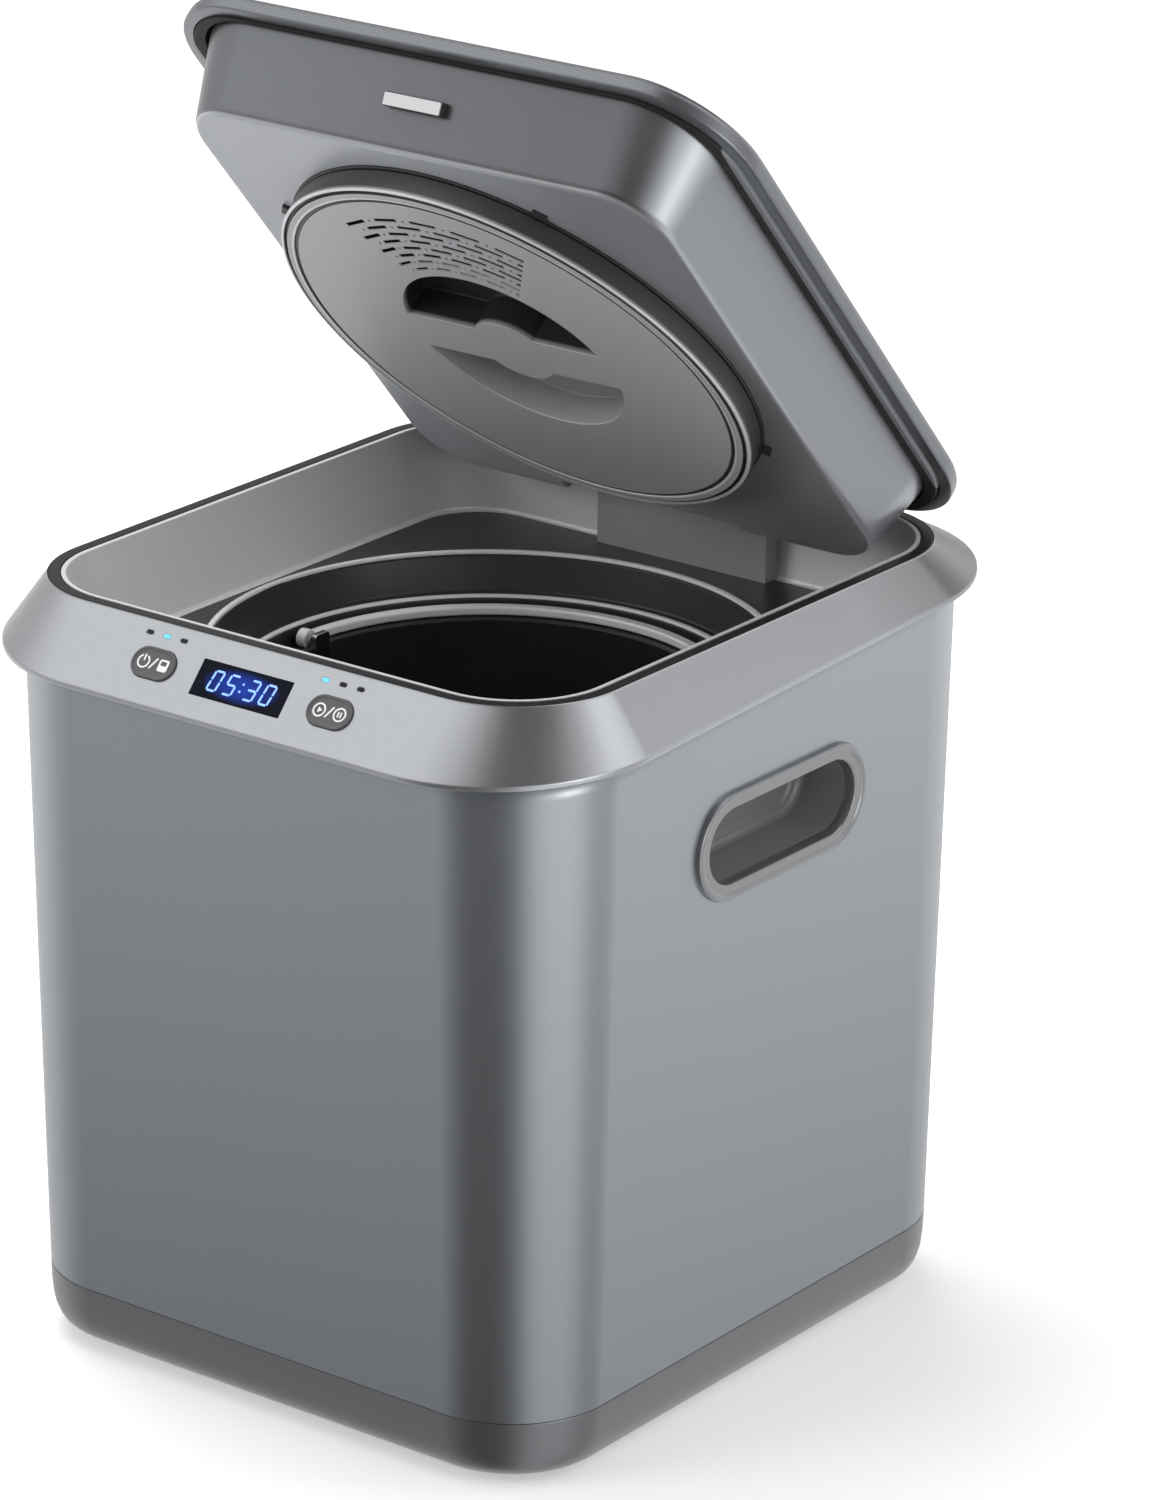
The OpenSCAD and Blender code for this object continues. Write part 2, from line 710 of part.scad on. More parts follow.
module inlet() {
    color("black") on_rear(inlet_x, inlet_zc) {
        difference() {
            union() {
                translate([0, 0, 0.1]) linear_extrude(1.6) rrect(34, 26, 3);
                translate([-14, -10, -20]) cube([28, 20, 20.2]);
            }
            translate([0, 0, -17]) linear_extrude(30) rrect(22, 14, 2);
        }
        for (x = [-5, 5]) translate([x - 1, -2, -17.5]) cube([2, 4, 13]);
        translate([-1, 1.5, -17.5]) cube([2, 4, 13]);
    }
}

module bucket() {
    module cup(r, h, f) {
        square([r - f, h]);
        translate([0, f]) square([r, h - f]);
        translate([r - f, f]) circle(f);
    }
    color("black") on_axis() difference() {
        translate([0, 0, bucket_z]) {
            rotate_extrude() difference() {
                cup(bucket_r, bucket_h, 10);
                translate([0, bucket_floor]) cup(bucket_r - bucket_t, bucket_h, 8);
                translate([-bucket_r, -10]) square([bucket_r, 2 * bucket_h]);
            }
            ring(bucket_r + flange_w, bucket_r - 1, bucket_h - flange_t, flange_t);
            ring(tunnel_r, tunnel_r - 2.5, 1, tunnel_h - 1);
            ring(tunnel_r, shaft_r, tunnel_h - 3, 3);
            ring(9, shaft_r, tunnel_h - 0.1, 4);
        }
        translate([0, 0, bucket_z - 1]) cylinder(r = tunnel_r - 2.5, h = tunnel_h - 2);
        translate([0, 0, bucket_z]) cylinder(r = shaft_r + run_fit, h = 60);
        for (x = [-1, 1]) translate([x * (bail_r + bail_w / 2 + 0.5), 0, flange_z])
            cube([bail_w + 3, 13, 12], center = true);
    }
}

module bail_ears() {
    ear_x = bucket_r - bucket_t - 3.1;
    color("silver") on_axis() for (m = [0, 1]) mirror([m, 0, 0]) translate([ear_x, 0, bail_z]) {
        translate([0, -4.5, -10]) cube([3, 9, 14]);
        rotate([0, 90, 0]) cylinder(r = bail_pin_r, h = bail_r + bail_w + 0.6 - ear_x);
    }
}

module bail() {
    color("silver") on_axis() difference() {
        union() {
            translate([0, 0, bail_z - bail_t / 2]) rotate_extrude(angle = 180)
                translate([bail_r, 0]) square([bail_w, bail_t]);
            for (x = [-1, 1]) translate([x * (bail_r + bail_w / 2 - 0.1), 0, bail_z])
                rotate([0, 90, 0]) cylinder(r = 4, h = bail_w - 0.6, center = true);
        }
        translate([0, 0, bail_z]) rotate([0, 90, 0])
            cylinder(r = bail_pin_r + run_fit, h = 4 * bail_r, center = true);
    }
}

module breaker_bars() {
    color("silver") on_axis() for (a = [35, 215]) rotate([0, 0, a])
        translate([46, -3, bucket_z + 30]) cube([bucket_r - bucket_t - 46.3, 6, 9]);
}

module spindle() {
    z = shaft_top + 1;
    color("silver") on_axis() difference() {
        union() {
            translate([0, 0, z]) cylinder(r = dog_r, h = 8);
            translate([0, 0, z]) cylinder(r = shaft_r, h = bucket_z + 40 - z);
        }
        translate([-dog_r - 1, -dog_w / 2 - 0.3, z - 1]) cube([2 * dog_r + 2, dog_w + 0.6, 8]);
    }
}

module agitator() {
    z = bucket_z + bucket_floor;
    color("dimgray") on_axis() {
        difference() {
            union() {
                translate([0, 0, z + 1.5]) cylinder(r = hub_r, h = 20);
                translate([0, 0, z + 21.4]) cylinder(r1 = hub_r, r2 = 12, h = 18);
            }
            translate([0, 0, z]) cylinder(r = tunnel_r + 1, h = tunnel_h + 3);
            cylinder(r = shaft_r, h = bucket_z + 40);
        }
        for (a = [0, 120, 240]) rotate([0, 0, a]) translate([hub_r - 2, 0, z + blade_rise])
            rotate([28, 0, 0]) translate([0, -3, -6.5]) cube([blade_l, 6, 13]);
    }
}

// Cap of the lid, inset by i, with its top lowered by d
module cap_solid(i, d, z_low) {
    hull() {
        slab(lid_w - 2 * i, lid_d - 2 * i, lid_r - i, z_low, lid_z + lid_band - 2 - d - z_low);
        slab(lid_w - 2 * i - 4, lid_d - 2 * i - 4, lid_r - i - 2, lid_z + lid_band - d - 0.1);
        slab(lid_w - 2 * i - 60, lid_d - 2 * i - 60, lid_r - i - 12,
            lid_z + lid_band + lid_crown - d - 0.1);
    }
}

// Gap at the back of the lid for the ears and the barrel
module lid_notch() translate([-hinge_w / 2 - 0.7, hinge_y - 8, lid_z - 20]) cube([hinge_w + 1.4, 30, 60]);

module lid_cap() {
    color("gray") lid_pose() difference() {
        cap_solid(0, 0, lid_z);
        cap_solid(wall, wall, lid_z - 1);
        lid_notch();
    }
}

module lid_gasket() {
    color("black") lid_pose() difference() {
        slab(lid_w - 2 * wall - 2 * fit, lid_d - 2 * wall - 2 * fit, lid_r - wall - fit,
            lid_z - 1.9, 2.9);
        slab(pan_w + 2 * fit, pan_d + 2 * fit, pan_r + fit, lid_z - 4, 8);
        lid_notch();
    }
}

// Solid of the pan, inset by i, with its underside raised by b and its top raised by u
module pan_solid(i, b, u) {
    hull() {
        slab(pan_w - 2 * i, pan_d - 2 * i, pan_r - i, lid_z + u);
        slab(pan_low_w - 2 * i, pan_low_d - 2 * i, pan_low_r - i, pan_z + pan_chamfer + b, 0.1,
            pan_low_cy);
        slab(pan_low_w - 2 * (i + pan_chamfer), pan_low_d - 2 * (i + pan_chamfer),
            pan_low_r - i - pan_chamfer, pan_z + b, 0.1, pan_low_cy);
    }
}

module bay(g) translate([-bay_w / 2 - g, bay_y - g, pan_z - 5]) cube([bay_w + 2 * g, 40, 60]);

module lid_pan() {
    color("dimgray") lid_pose() difference() {
        pan_solid(0, 0, 3);
        difference() {
            pan_solid(wall, wall, 4);
            bay(wall);
        }
        bay(0);
        on_axis() translate([0, 0, pan_z - 1]) cylinder(r = collar_r + fit, h = 20);
        translate([-knuckle_w / 2 - 0.5, bay_y - 12, hinge_z - 4.6])
            cube([knuckle_w + 1, 40, 30]);
    }
}

module catch_plate() {
    lean = atan((pan_d - pan_low_d + 2 * pan_low_cy) / 2 / (pan_h - pan_chamfer));
    h = 17.5;
    y = -pan_low_d / 2 + pan_low_cy - (h - pan_chamfer) * tan(lean);
    color("white") lid_pose() translate([0, y, pan_z + h]) rotate([lean, 0, 0])
        translate([-14, -3.8, -2.8]) cube([28, 3.6, 5.6]);
}

module hinge_arm() {
    color("black") lid_pose() difference() {
        union() {
            translate([0, hinge_y, hinge_z]) rotate([0, 90, 0])
                cylinder(r = barrel_r, h = knuckle_w, center = true);
            translate([-knuckle_w / 2, bay_y - 9, hinge_z - 4]) cube([knuckle_w, hinge_y - bay_y + 9, 8]);
        }
        translate([0, hinge_y, hinge_z]) rotate([0, 90, 0])
            cylinder(r = pin_r + run_fit, h = hinge_w, center = true);
    }
}

module filter_collar() {
    color("gray") lid_pose() on_axis() difference() {
        union() {
            ring(collar_r, spigot_r + 0.3, pan_z - 1, 11);
            ring(collar_r + 5, spigot_r + 0.3, pan_z + wall + 0.1, 2);
        }
        ring(spigot_r + 3, spigot_r - 1, lug_z - 0.4, lug_h + 0.8);
        for (a = [30:90:300]) rotate([0, 0, a]) translate([spigot_r, 0, pan_z - 2])
            translate([-3, -14, 0]) cube([6.2, 28, 2 + lug_z - pan_z]);
    }
}

module filter_cartridge() {
    color("black") lid_pose() on_axis() translate([0, 0, cover_z + grip_h + 2.1])
        cylinder(r = spigot_r - 3.3, h = filter_h);
}

// Two finger recesses either side of a bar with a round bulge in its middle
module grips() {
    difference() {
        circle(grip_r);
        square([3 * grip_r, 2 * grip_bar], center = true);
        circle(1.7 * grip_bar);
    }
}

// Rows of vents round the axis toward the lid's free edge, set like bricks
module vents() {
    for (row = [0:7]) {
        r = cover_r - 19.3 - vent_pitch * row;
        for (a = [-32 + vent_step / 2 * (row % 2):vent_step:28]) {
            sweep = min(vent_dash, 30 - a);
            rotate(a + sweep / 2) translate([-r * sweep * PI / 360, -r - 1])
                square([r * sweep * PI / 180, 2]);
        }
    }
}

module filter_cover() {
    color("gray") lid_pose() on_axis() difference() {
        union() {
            translate([0, 0, cover_z]) cylinder(r = cover_r - 4, h = 3);
            ring(cover_r, cover_r - 7, cover_z + 1.5, cover_h - 2.9);
            ring(spigot_r, spigot_r - 3, cover_z + 2, pan_z + 8 - cover_z);
            for (a = [30:90:300]) rotate([0, 0, a + twist]) translate([spigot_r - 1, -9, lug_z])
                cube([2.6, 18, lug_h]);
            translate([0, 0, cover_z]) cylinder(r = grip_r + 2, h = grip_h + 2);
        }
        translate([0, 0, cover_z - 1]) linear_extrude(grip_h + 1) grips();
        ring(cover_r - 0.6, cover_r - 2.6, cover_z + cover_h - 3, 3);
        translate([0, 0, cover_z - 1]) linear_extrude(6) vents();
    }
}

module cover_gasket() {
    color("black") lid_pose() on_axis() ring(cover_r - 0.7, cover_r - 2.5, cover_z + cover_h - 3, 1.95);
}

base_tray();
feet();
base_screws();
shell();
rim();
lip();
liner();
funnel();
hinge_block();
hinge_pin();
handle_right();
handle_left();
display_window();
display_module();
control_board();
light_guide_left();
light_guide_right();
button_left();
button_right();
catch_magnet();
well();
well_skirt();
heater();
chassis();
shaft_bearing();
gear_case();
motor();
motor_shaft();
pinion();
output_shaft();
output_gear();
power_board();
fan_housing();
fan_rotor();
vent_grille();
inlet();
bucket();
bail_ears();
breaker_bars();
bail();
spindle();
agitator();
lid_cap();
lid_gasket();
lid_pan();
catch_plate();
hinge_arm();
filter_collar();
filter_cartridge();
filter_cover();
cover_gasket();
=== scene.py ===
"""Dresses the food waste composter: moulded skins, fittings, finishes and the stage."""

import math

import bmesh
import bpy
from bpy.props import FloatProperty, FloatVectorProperty, IntProperty, PointerProperty
from mathutils import Matrix, Vector


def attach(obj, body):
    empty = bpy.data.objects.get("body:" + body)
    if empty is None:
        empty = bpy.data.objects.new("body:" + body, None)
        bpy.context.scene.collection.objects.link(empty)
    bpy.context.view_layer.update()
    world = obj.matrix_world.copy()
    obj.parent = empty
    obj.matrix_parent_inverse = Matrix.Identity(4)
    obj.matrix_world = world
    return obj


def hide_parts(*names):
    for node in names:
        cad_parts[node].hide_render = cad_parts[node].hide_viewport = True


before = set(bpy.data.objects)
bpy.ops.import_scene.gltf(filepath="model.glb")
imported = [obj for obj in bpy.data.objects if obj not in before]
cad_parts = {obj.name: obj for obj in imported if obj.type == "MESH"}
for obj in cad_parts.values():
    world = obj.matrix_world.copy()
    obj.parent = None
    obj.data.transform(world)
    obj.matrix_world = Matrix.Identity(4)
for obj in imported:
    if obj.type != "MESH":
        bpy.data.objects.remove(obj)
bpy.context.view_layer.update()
MM = 0.001

bl_info = {
    "name": "Food Waste Composter Dressing",
    "version": (1, 0, 0),
    "blender": (4, 5, 0),
    "location": "3D View > Sidebar > Composter",
    "description": "Skins, fittings, finishes and a stage for the composter's solids",
    "category": "Object",
}

# Sizes of the solids, in millimetres
SEAM_Z, RIM_Z, TOP_Z = 29.0, 302.0, 322.5
SEAM_W, SEAM_D, SEAM_R, DRAFT, WALL, SHOULDER = 270.0, 295.0, 44.0, 5.0, 2.5, 9.0
RIM_W, RIM_D, RIM_R, RIM_TILT, RIM_IN = 300.0, 335.0, 69.0, 2.5, (252, 277, 37.5)
MOUTH_W, MOUTH_D, MOUTH_R, LIP_W, LIP_H = 266.6, 288.8, 46.0, 5.2, 2.5
IN_W, IN_D, IN_R = 252.2, 274.4, 38.8
DECK_W, DECK_D, DECK_R, DECK_Z, DECK_CY = 237.2, 257.3, 30.0, 285.1, 4.25
AXIS_Y, LEDGE_Z, DECK_HOLE_R, NECK_R = -3.0, 269.1, 112.0, 102.0
BUCKET_Z, BUCKET_R, BUCKET_H, FLANGE_Z, BAIL_Z, BAIL_R = 95.1, 91.0, 169.0, 264.1, 266.4, 92.5
FOOT_X, FOOT_Y, BAR_L, BLADE_L = 92.0, 98.0, 42.7, 55.0
GRILLE_AT, GRILLE_PLUG, INLET_AT, INLET_W, INLET_H = (68, 190), 68.0, (-78, 62), 28.0, 20.0
HINGE_W, HINGE_Y, HINGE_Z, EAR_X, KNUCKLE_W = 86.0, 141.0, 325.4, 37.0, 61.0
LID_Z, LID_W, LID_D, LID_R, LID_OPEN = 324.5, 274.0, 284.0, 43.0, 48.6
PAN_Z, PAN_W, PAN_D, PAN_R = 290.5, 248.0, 271.0, 34.0
PAN_LOW_W, PAN_LOW_D, PAN_LOW_R, PAN_LOW_CY, BAY_Y = 232.0, 248.0, 26.0, 4.4, 121.4
COVER_Z, COVER_R, COLLAR_R, SPIGOT_R = 279.2, 104.0, 104.7, 99.3
GRIP_R, GRIP_H, GRIP_BAR = 49.0, 14.0, 10.5
PANEL_Y, PANEL_A, PANEL_S, LED_S = -144.4, math.radians(48.364), 17.5, 5.5
DISPLAY_W, DISPLAY_H, BUTTON_L, BUTTON_W, BUTTON_X = 44.0, 15.0, 21.0, 13.0, 43.5
LED_PITCH, HANDLE_DEPTH = 8.5, 28.0
HANDLE_L, HANDLE_H, HANDLE_TRIM, HANDLE_Z, HANDLE_Y = 95.0, 30.0, 7.5, 241.0, 3.0
VENT_R, VENT_PITCH, VENT_ROWS = 84.7, 4.43, 8
VENT_FROM, VENT_TO, VENT_STEP, VENT_DASH = -32.0, 30.0, 13.4, 8.8
LEAN = math.atan(DRAFT / (RIM_Z - SHOULDER - SEAM_Z))
FIT = 0.2


# Places of the pieces
def turn_x(angle):
    return Matrix.Rotation(angle, 4, "X")


def spin_z(degrees):
    return Matrix.Rotation(math.radians(degrees), 4, "Z")


def shift(x, y, z):
    return Matrix.Translation(Vector((x, y, z)) * MM)


def on_panel(x, s):
    """Frame on the front slope: x across, y up the slope, z outward."""
    return shift(0, PANEL_Y, TOP_Z) @ turn_x(PANEL_A) @ shift(x, -s, 0)


def on_side(side=1):
    """Frame in the middle of a side handle: x along the side, y up, z outward."""
    right = (shift(SEAM_W / 2 + (HANDLE_Z - SEAM_Z) * math.tan(LEAN), HANDLE_Y, HANDLE_Z)
             @ Matrix.Rotation(LEAN, 4, "Y") @ spin_z(90)
             @ turn_x(math.radians(90)))
    if side > 0:
        return right
    return Matrix.Rotation(math.pi, 4, "Z") @ shift(0, -2 * HANDLE_Y, 0) @ right


def on_rear(x, z):
    """Frame on the back of the shell, z outward."""
    return (shift(x, SEAM_D / 2 + (z - SEAM_Z) * math.tan(LEAN), z) @ turn_x(-LEAN)
            @ Matrix.Rotation(math.pi, 4, "Z") @ turn_x(math.radians(90)))


TO_X = Matrix.Rotation(math.radians(90), 4, "Y")
ON_AXIS = shift(0, AXIS_Y, 0)
LID_POSE = (shift(0, HINGE_Y, HINGE_Z) @ turn_x(-math.radians(LID_OPEN))
            @ shift(0, -HINGE_Y, -HINGE_Z))
# Directions on the open lid: from its face inward, and towards its free edge
LID_IN = LID_POSE.to_3x3() @ Vector((0, 0, 1))
LID_FREE = LID_POSE.to_3x3() @ Vector((0, -1, 0))


# Modelling by operators
def fresh():
    """Back to object mode with nothing selected."""
    if bpy.context.object and bpy.context.object.mode != "OBJECT":
        bpy.ops.object.mode_set(mode="OBJECT")
    bpy.ops.object.select_all(action="DESELECT")


def choose(piece):
    """Select one piece alone and make it active."""
    fresh()
    piece.select_set(True)
    bpy.context.view_layer.objects.active = piece


def begin(name):
    """Start a piece: a plane in edit mode, emptied for the hoops that follow."""
    fresh()
    bpy.ops.mesh.primitive_plane_add(size=1)
    piece = bpy.context.object
    piece.name = name
    bpy.ops.object.mode_set(mode="EDIT")
    bpy.ops.mesh.delete(type="VERT")
    return piece


def pick(kind, test):
    """Select the vertices, edges or faces for which the test holds."""
    mesh = bpy.context.edit_object.data
    bpy.ops.mesh.select_mode(type=kind)
    bpy.ops.mesh.select_all(action="DESELECT")
    form = bmesh.from_edit_mesh(mesh)
    items = {"VERT": form.verts, "EDGE": form.edges, "FACE": form.faces}[kind]
    for item in items:
        if test(item):
            item.select_set(True)
    form.select_flush_mode()
    bmesh.update_edit_mesh(mesh)


def hoop(w, d, r, z, cy=0.0, tilt=0.0):
    """Rounded rectangle of one section: width, depth, corner radius, height, centre, tilt."""
    return (w, d, r, z, cy, tilt)


def disc(r, z, cy=0.0):
    """Round section of a radius at a height."""
    return (2 * r, 2 * r, r, z, cy, 0.0)


def sheet(w, d):
    """Add a flat rectangle to the piece in edit mode."""
    bpy.ops.mesh.primitive_plane_add(size=1, location=(0, 0, 0))
    bpy.ops.transform.resize(value=(w * MM, d * MM, 1))


def bevel(size, steps, affect="EDGES", clamp=False):
    """Bevel what is selected in edit mode."""
    bpy.ops.mesh.bevel(affect=affect, offset=size * MM, segments=steps, profile=0.5,
                       clamp_overlap=clamp)


def extrude(x, z):
    """Extrude what is selected in edit mode, sideways or upward."""
    bpy.ops.mesh.extrude_region_move(TRANSFORM_OT_translate={"value": (x * MM, 0, z * MM)})


def layer(form, name):
    return form.verts.layers.int.get(name) or form.verts.layers.int.new(name)


def first_outline(w, d, steps):
    """Add a sheet, round its corners, and mark each vertex with its corner."""
    sheet(w, d)
    r = 0.4 * min(w, d)
    bevel(r, steps, "VERTICES")
    mesh = bpy.context.edit_object.data
    form = bmesh.from_edit_mesh(mesh)
    layer(form, "section")
    corner = layer(form, "corner")
    for vert in form.verts:
        vert[corner] = (1 if vert.co.x > 0 else 0) + (2 if vert.co.y > 0 else 0)
    bmesh.update_edit_mesh(mesh)
    bpy.ops.mesh.delete(type="ONLY_FACE")
    return (w, d, r, 0.0, 0.0, 0.0)


def reshape(order, before, after):
    """Take an outline from one section to the next by scaling and moving its four corners."""
    (w0, d0, r0, z0, c0, t0), (w1, d1, r1, z1, c1, t1) = before, after
    if t0:
        bpy.ops.transform.rotate(value=math.radians(t0), orient_axis="X",
                                 center_override=(0, 0, z0 * MM))
    form = bmesh.from_edit_mesh(bpy.context.edit_object.data)
    section, corner = layer(form, "section"), layer(form, "corner")
    for vert in form.verts:
        if vert.select:
            vert[section] = order
    for x in (0, 1):
        for y in (0, 1):
            pick("VERT", lambda v: v[section] == order and v[corner] == x + 2 * y)
            sx, sy = 2 * x - 1, 2 * y - 1
            middle = Vector((sx * (w0 / 2 - r0), c0 + sy * (d0 / 2 - r0), z0))
            target = Vector((sx * (w1 / 2 - r1), c1 + sy * (d1 / 2 - r1), z1))
            bpy.ops.transform.resize(value=(r1 / r0, r1 / r0, 1), center_override=middle * MM)
            bpy.ops.transform.translate(value=(target - middle) * MM)
    pick("EDGE", lambda e: e.verts[0][section] == order and e.verts[1][section] == order)
    if t1:
        bpy.ops.transform.rotate(value=-math.radians(t1), orient_axis="X",
                                 center_override=(0, 0, z1 * MM))


def close(piece):
    """End a piece: merge doubles, turn the faces outward and leave edit mode."""
    bpy.ops.mesh.select_mode(type="VERT")
    bpy.ops.mesh.select_all(action="SELECT")
    bpy.ops.mesh.remove_doubles(threshold=1e-6)
    bpy.ops.mesh.normals_make_consistent(inside=False)
    fresh()
    return piece


def loft(name, sections, ring=False, steps=12):
    """Extrude an outline through sections, closed into a ring or with its two ends filled."""
    piece = begin(name)
    here = first_outline(max(sections[0][0], 10), max(sections[0][1], 10), steps)
    bpy.ops.mesh.select_mode(type="EDGE")
    bpy.ops.mesh.select_all(action="SELECT")
    count = len(sections)
    for order, section in enumerate(sections + sections[:1] if ring else sections):
        if order:
            bpy.ops.mesh.extrude_edges_move(TRANSFORM_OT_translate={"value": (0, 0, 0)})
        reshape(order, here, section)
        here = section
    if not ring:
        for end in (0, count - 1):
            section = layer(bmesh.from_edit_mesh(piece.data), "section")
            pick("EDGE", lambda e: e.verts[0][section] == end and e.verts[1][section] == end)
            bpy.ops.mesh.edge_face_add()
    close(piece)
    for name in ("section", "corner"):
        piece.data.attributes.remove(piece.data.attributes[name])
    return piece


def rounded(points, steps=4, closed=False):
    """Outline through points (u, v, radius), each corner turned into an arc."""
    found, count = [], len(points)
    for i, (u, v, r) in enumerate(points):
        here = Vector((u, v))
        if r <= 0 or (not closed and i in (0, count - 1)):
            found.append((u, v))
            continue
        before = Vector(points[i - 1][:2]) - here
        after = Vector(points[(i + 1) % count][:2]) - here
        half = before.angle(after) / 2
        reach = min(r / math.tan(half), 0.49 * before.length, 0.49 * after.length)
        r = reach * math.tan(half)
        inward = (before.normalized() + after.normalized()).normalized()
        middle = here + inward * (r / math.sin(half))
        start = here + before.normalized() * reach - middle
        stop = here + after.normalized() * reach - middle
        sweep = start.angle_signed(stop)
        for k in range(steps + 1):
            a = -sweep * k / steps
            found.append((middle.x + start.x * math.cos(a) - start.y * math.sin(a),
                          middle.y + start.x * math.sin(a) + start.y * math.cos(a)))
    return found


def draw(name, path, closed=True):
    """Start a piece in edit mode: a point extruded along a path into an outline."""
    fresh()
    bpy.ops.mesh.primitive_plane_add(size=1)
    piece = bpy.context.object
    piece.name = name
    bpy.ops.object.mode_set(mode="EDIT")
    bpy.ops.mesh.select_mode(type="VERT")
    bpy.ops.mesh.select_all(action="SELECT")
    bpy.ops.mesh.merge(type="CENTER")
    bpy.ops.transform.translate(value=path[0])
    for before, after in zip(path, path[1:] + (path[:1] if closed else [])):
        bpy.ops.mesh.extrude_vertices_move(TRANSFORM_OT_translate={"value": after - before})
    bpy.ops.mesh.select_all(action="SELECT")
    bpy.ops.mesh.remove_doubles(threshold=1e-7)
    bpy.ops.mesh.select_all(action="SELECT")
    return piece


def lathe(name, points, steps=96, closed=True):
    """Turned piece: an outline (radius, height), spun."""
    piece = draw(name, [Vector((r * MM, 0, z * MM)) for r, z in points], closed)
    bpy.ops.mesh.spin(steps=steps, angle=math.tau, center=(0, 0, 0), axis=(0, 0, 1))
    return close(piece)


def prism(name, w, d, r, low, high, round_low=0.0, round_high=0.0, steps=8, edge_steps=3):
    """Rounded rectangle extruded from low to high, its end edges bevelled."""
    piece = begin(name)
    sheet(w, d)
    if r:
        bevel(min(r, 0.4995 * min(w, d)), steps, "VERTICES")
    bpy.ops.transform.translate(value=(0, 0, low * MM))
    extrude(0, high - low)
    for level, size in ((low, round_low), (high, round_high)):
        if size:
            pick("EDGE", lambda e: all(abs(v.co.z - level * MM) < 1e-7 for v in e.verts))
            bevel(size, edge_steps)
    return close(piece)


def profile_bar(name, outline, half):
    """Bar with an outline (y, z), filled and extruded across x."""
    piece = draw(name, [Vector((-half * MM, y * MM, z * MM)) for y, z in outline])
    bpy.ops.mesh.edge_face_add()
    extrude(2 * half, 0)
    return close(piece)


def place(piece, matrix):
    """Move a finished piece and keep its place in its mesh."""
    choose(piece)
    piece.matrix_world = matrix
    bpy.ops.object.transform_apply(location=True, rotation=True, scale=True)
    piece.select_set(False)
    return piece


def copy_of(piece, name):
    """Copy a piece with its own mesh."""
    choose(piece)
    bpy.ops.object.duplicate(linked=False)
    twin = bpy.context.object
    twin.name = name
    fresh()
    return twin


def join(*pieces):
    """Join pieces into the first."""
    fresh()
    for piece in pieces:
        piece.select_set(True)
    bpy.context.view_layer.objects.active = pieces[0]
    bpy.ops.object.join()
    fresh()
    return pieces[0]


def modify(piece, kind, **settings):
    """Apply one modifier with its settings."""
    choose(piece)
    change = piece.modifiers.new(kind.lower(), kind)
    for key, value in settings.items():
        setattr(change, key, value)
    bpy.ops.object.modifier_apply(modifier=change.name)
    return piece


def carve(piece, *tools, operation="DIFFERENCE"):
    """Apply a boolean for each tool and remove the tool."""
    for tool in tools:
        modify(piece, "BOOLEAN", operation=operation, object=tool, solver="EXACT")
        bpy.data.objects.remove(tool, do_unlink=True)
    return piece


def box(name, low, high):
    """Plain block used as a cutting tool, between two corners."""
    size = [b - a for a, b in zip(low, high)]
    tool = prism(name, size[0], size[1], 0, 0, size[2])
    return place(tool, shift(*[(a + b) / 2 for a, b in zip(low[:2], high[:2])], low[2]))


def soften_edges(piece, size, angle=35, steps=3):
    """Bevel the sharp edges."""
    return modify(piece, "BEVEL", width=size * MM, segments=steps, limit_method="ANGLE",
                  angle_limit=math.radians(angle), use_clamp_overlap=True,
                  miter_outer="MITER_ARC")


def hand_over(piece, body, finish, *nodes, slot=None, angle=38):
    """Shade a piece, give it its finish, hang it on its body, and hide the parts that it replaces.
    """
    choose(piece)
    bpy.ops.object.shade_smooth_by_angle(angle=math.radians(angle))
    modify(piece, "WEIGHTED_NORMAL", keep_sharp=True, weight=50)
    piece.data.materials.clear()
    piece.data.materials.append(finish)
    piece.data.name = piece.name
    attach(piece, body)
    if nodes:
        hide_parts(*nodes)
    fresh()
    return piece


# Finishes
class Flow:
    """One value on its way through a material, with the usual arithmetic."""

    def __init__(self, finish, socket):
        self.finish, self.socket = finish, socket

    def maths(self, operation, first, second=0.0):
        return self.finish.node("ShaderNodeMath", {"operation": operation}, {0: first, 1: second})

    def by(operation, swap=False):
        """Method that puts one maths node between two values."""
        if swap:
            return lambda self, other: self.maths(operation, other, self)
        return lambda self, other: self.maths(operation, self, other)

    __add__ = __radd__ = by("ADD")
    __mul__ = __rmul__ = by("MULTIPLY")
    __sub__, __rsub__ = by("SUBTRACT"), by("SUBTRACT", swap=True)
    __truediv__, __pow__ = by("DIVIDE"), by("POWER")
    __gt__, __lt__ = by("GREATER_THAN"), by("LESS_THAN")

    def clamp(self, low=0.0, high=1.0):
        return self.maths("MINIMUM", self.maths("MAXIMUM", self, low), high)


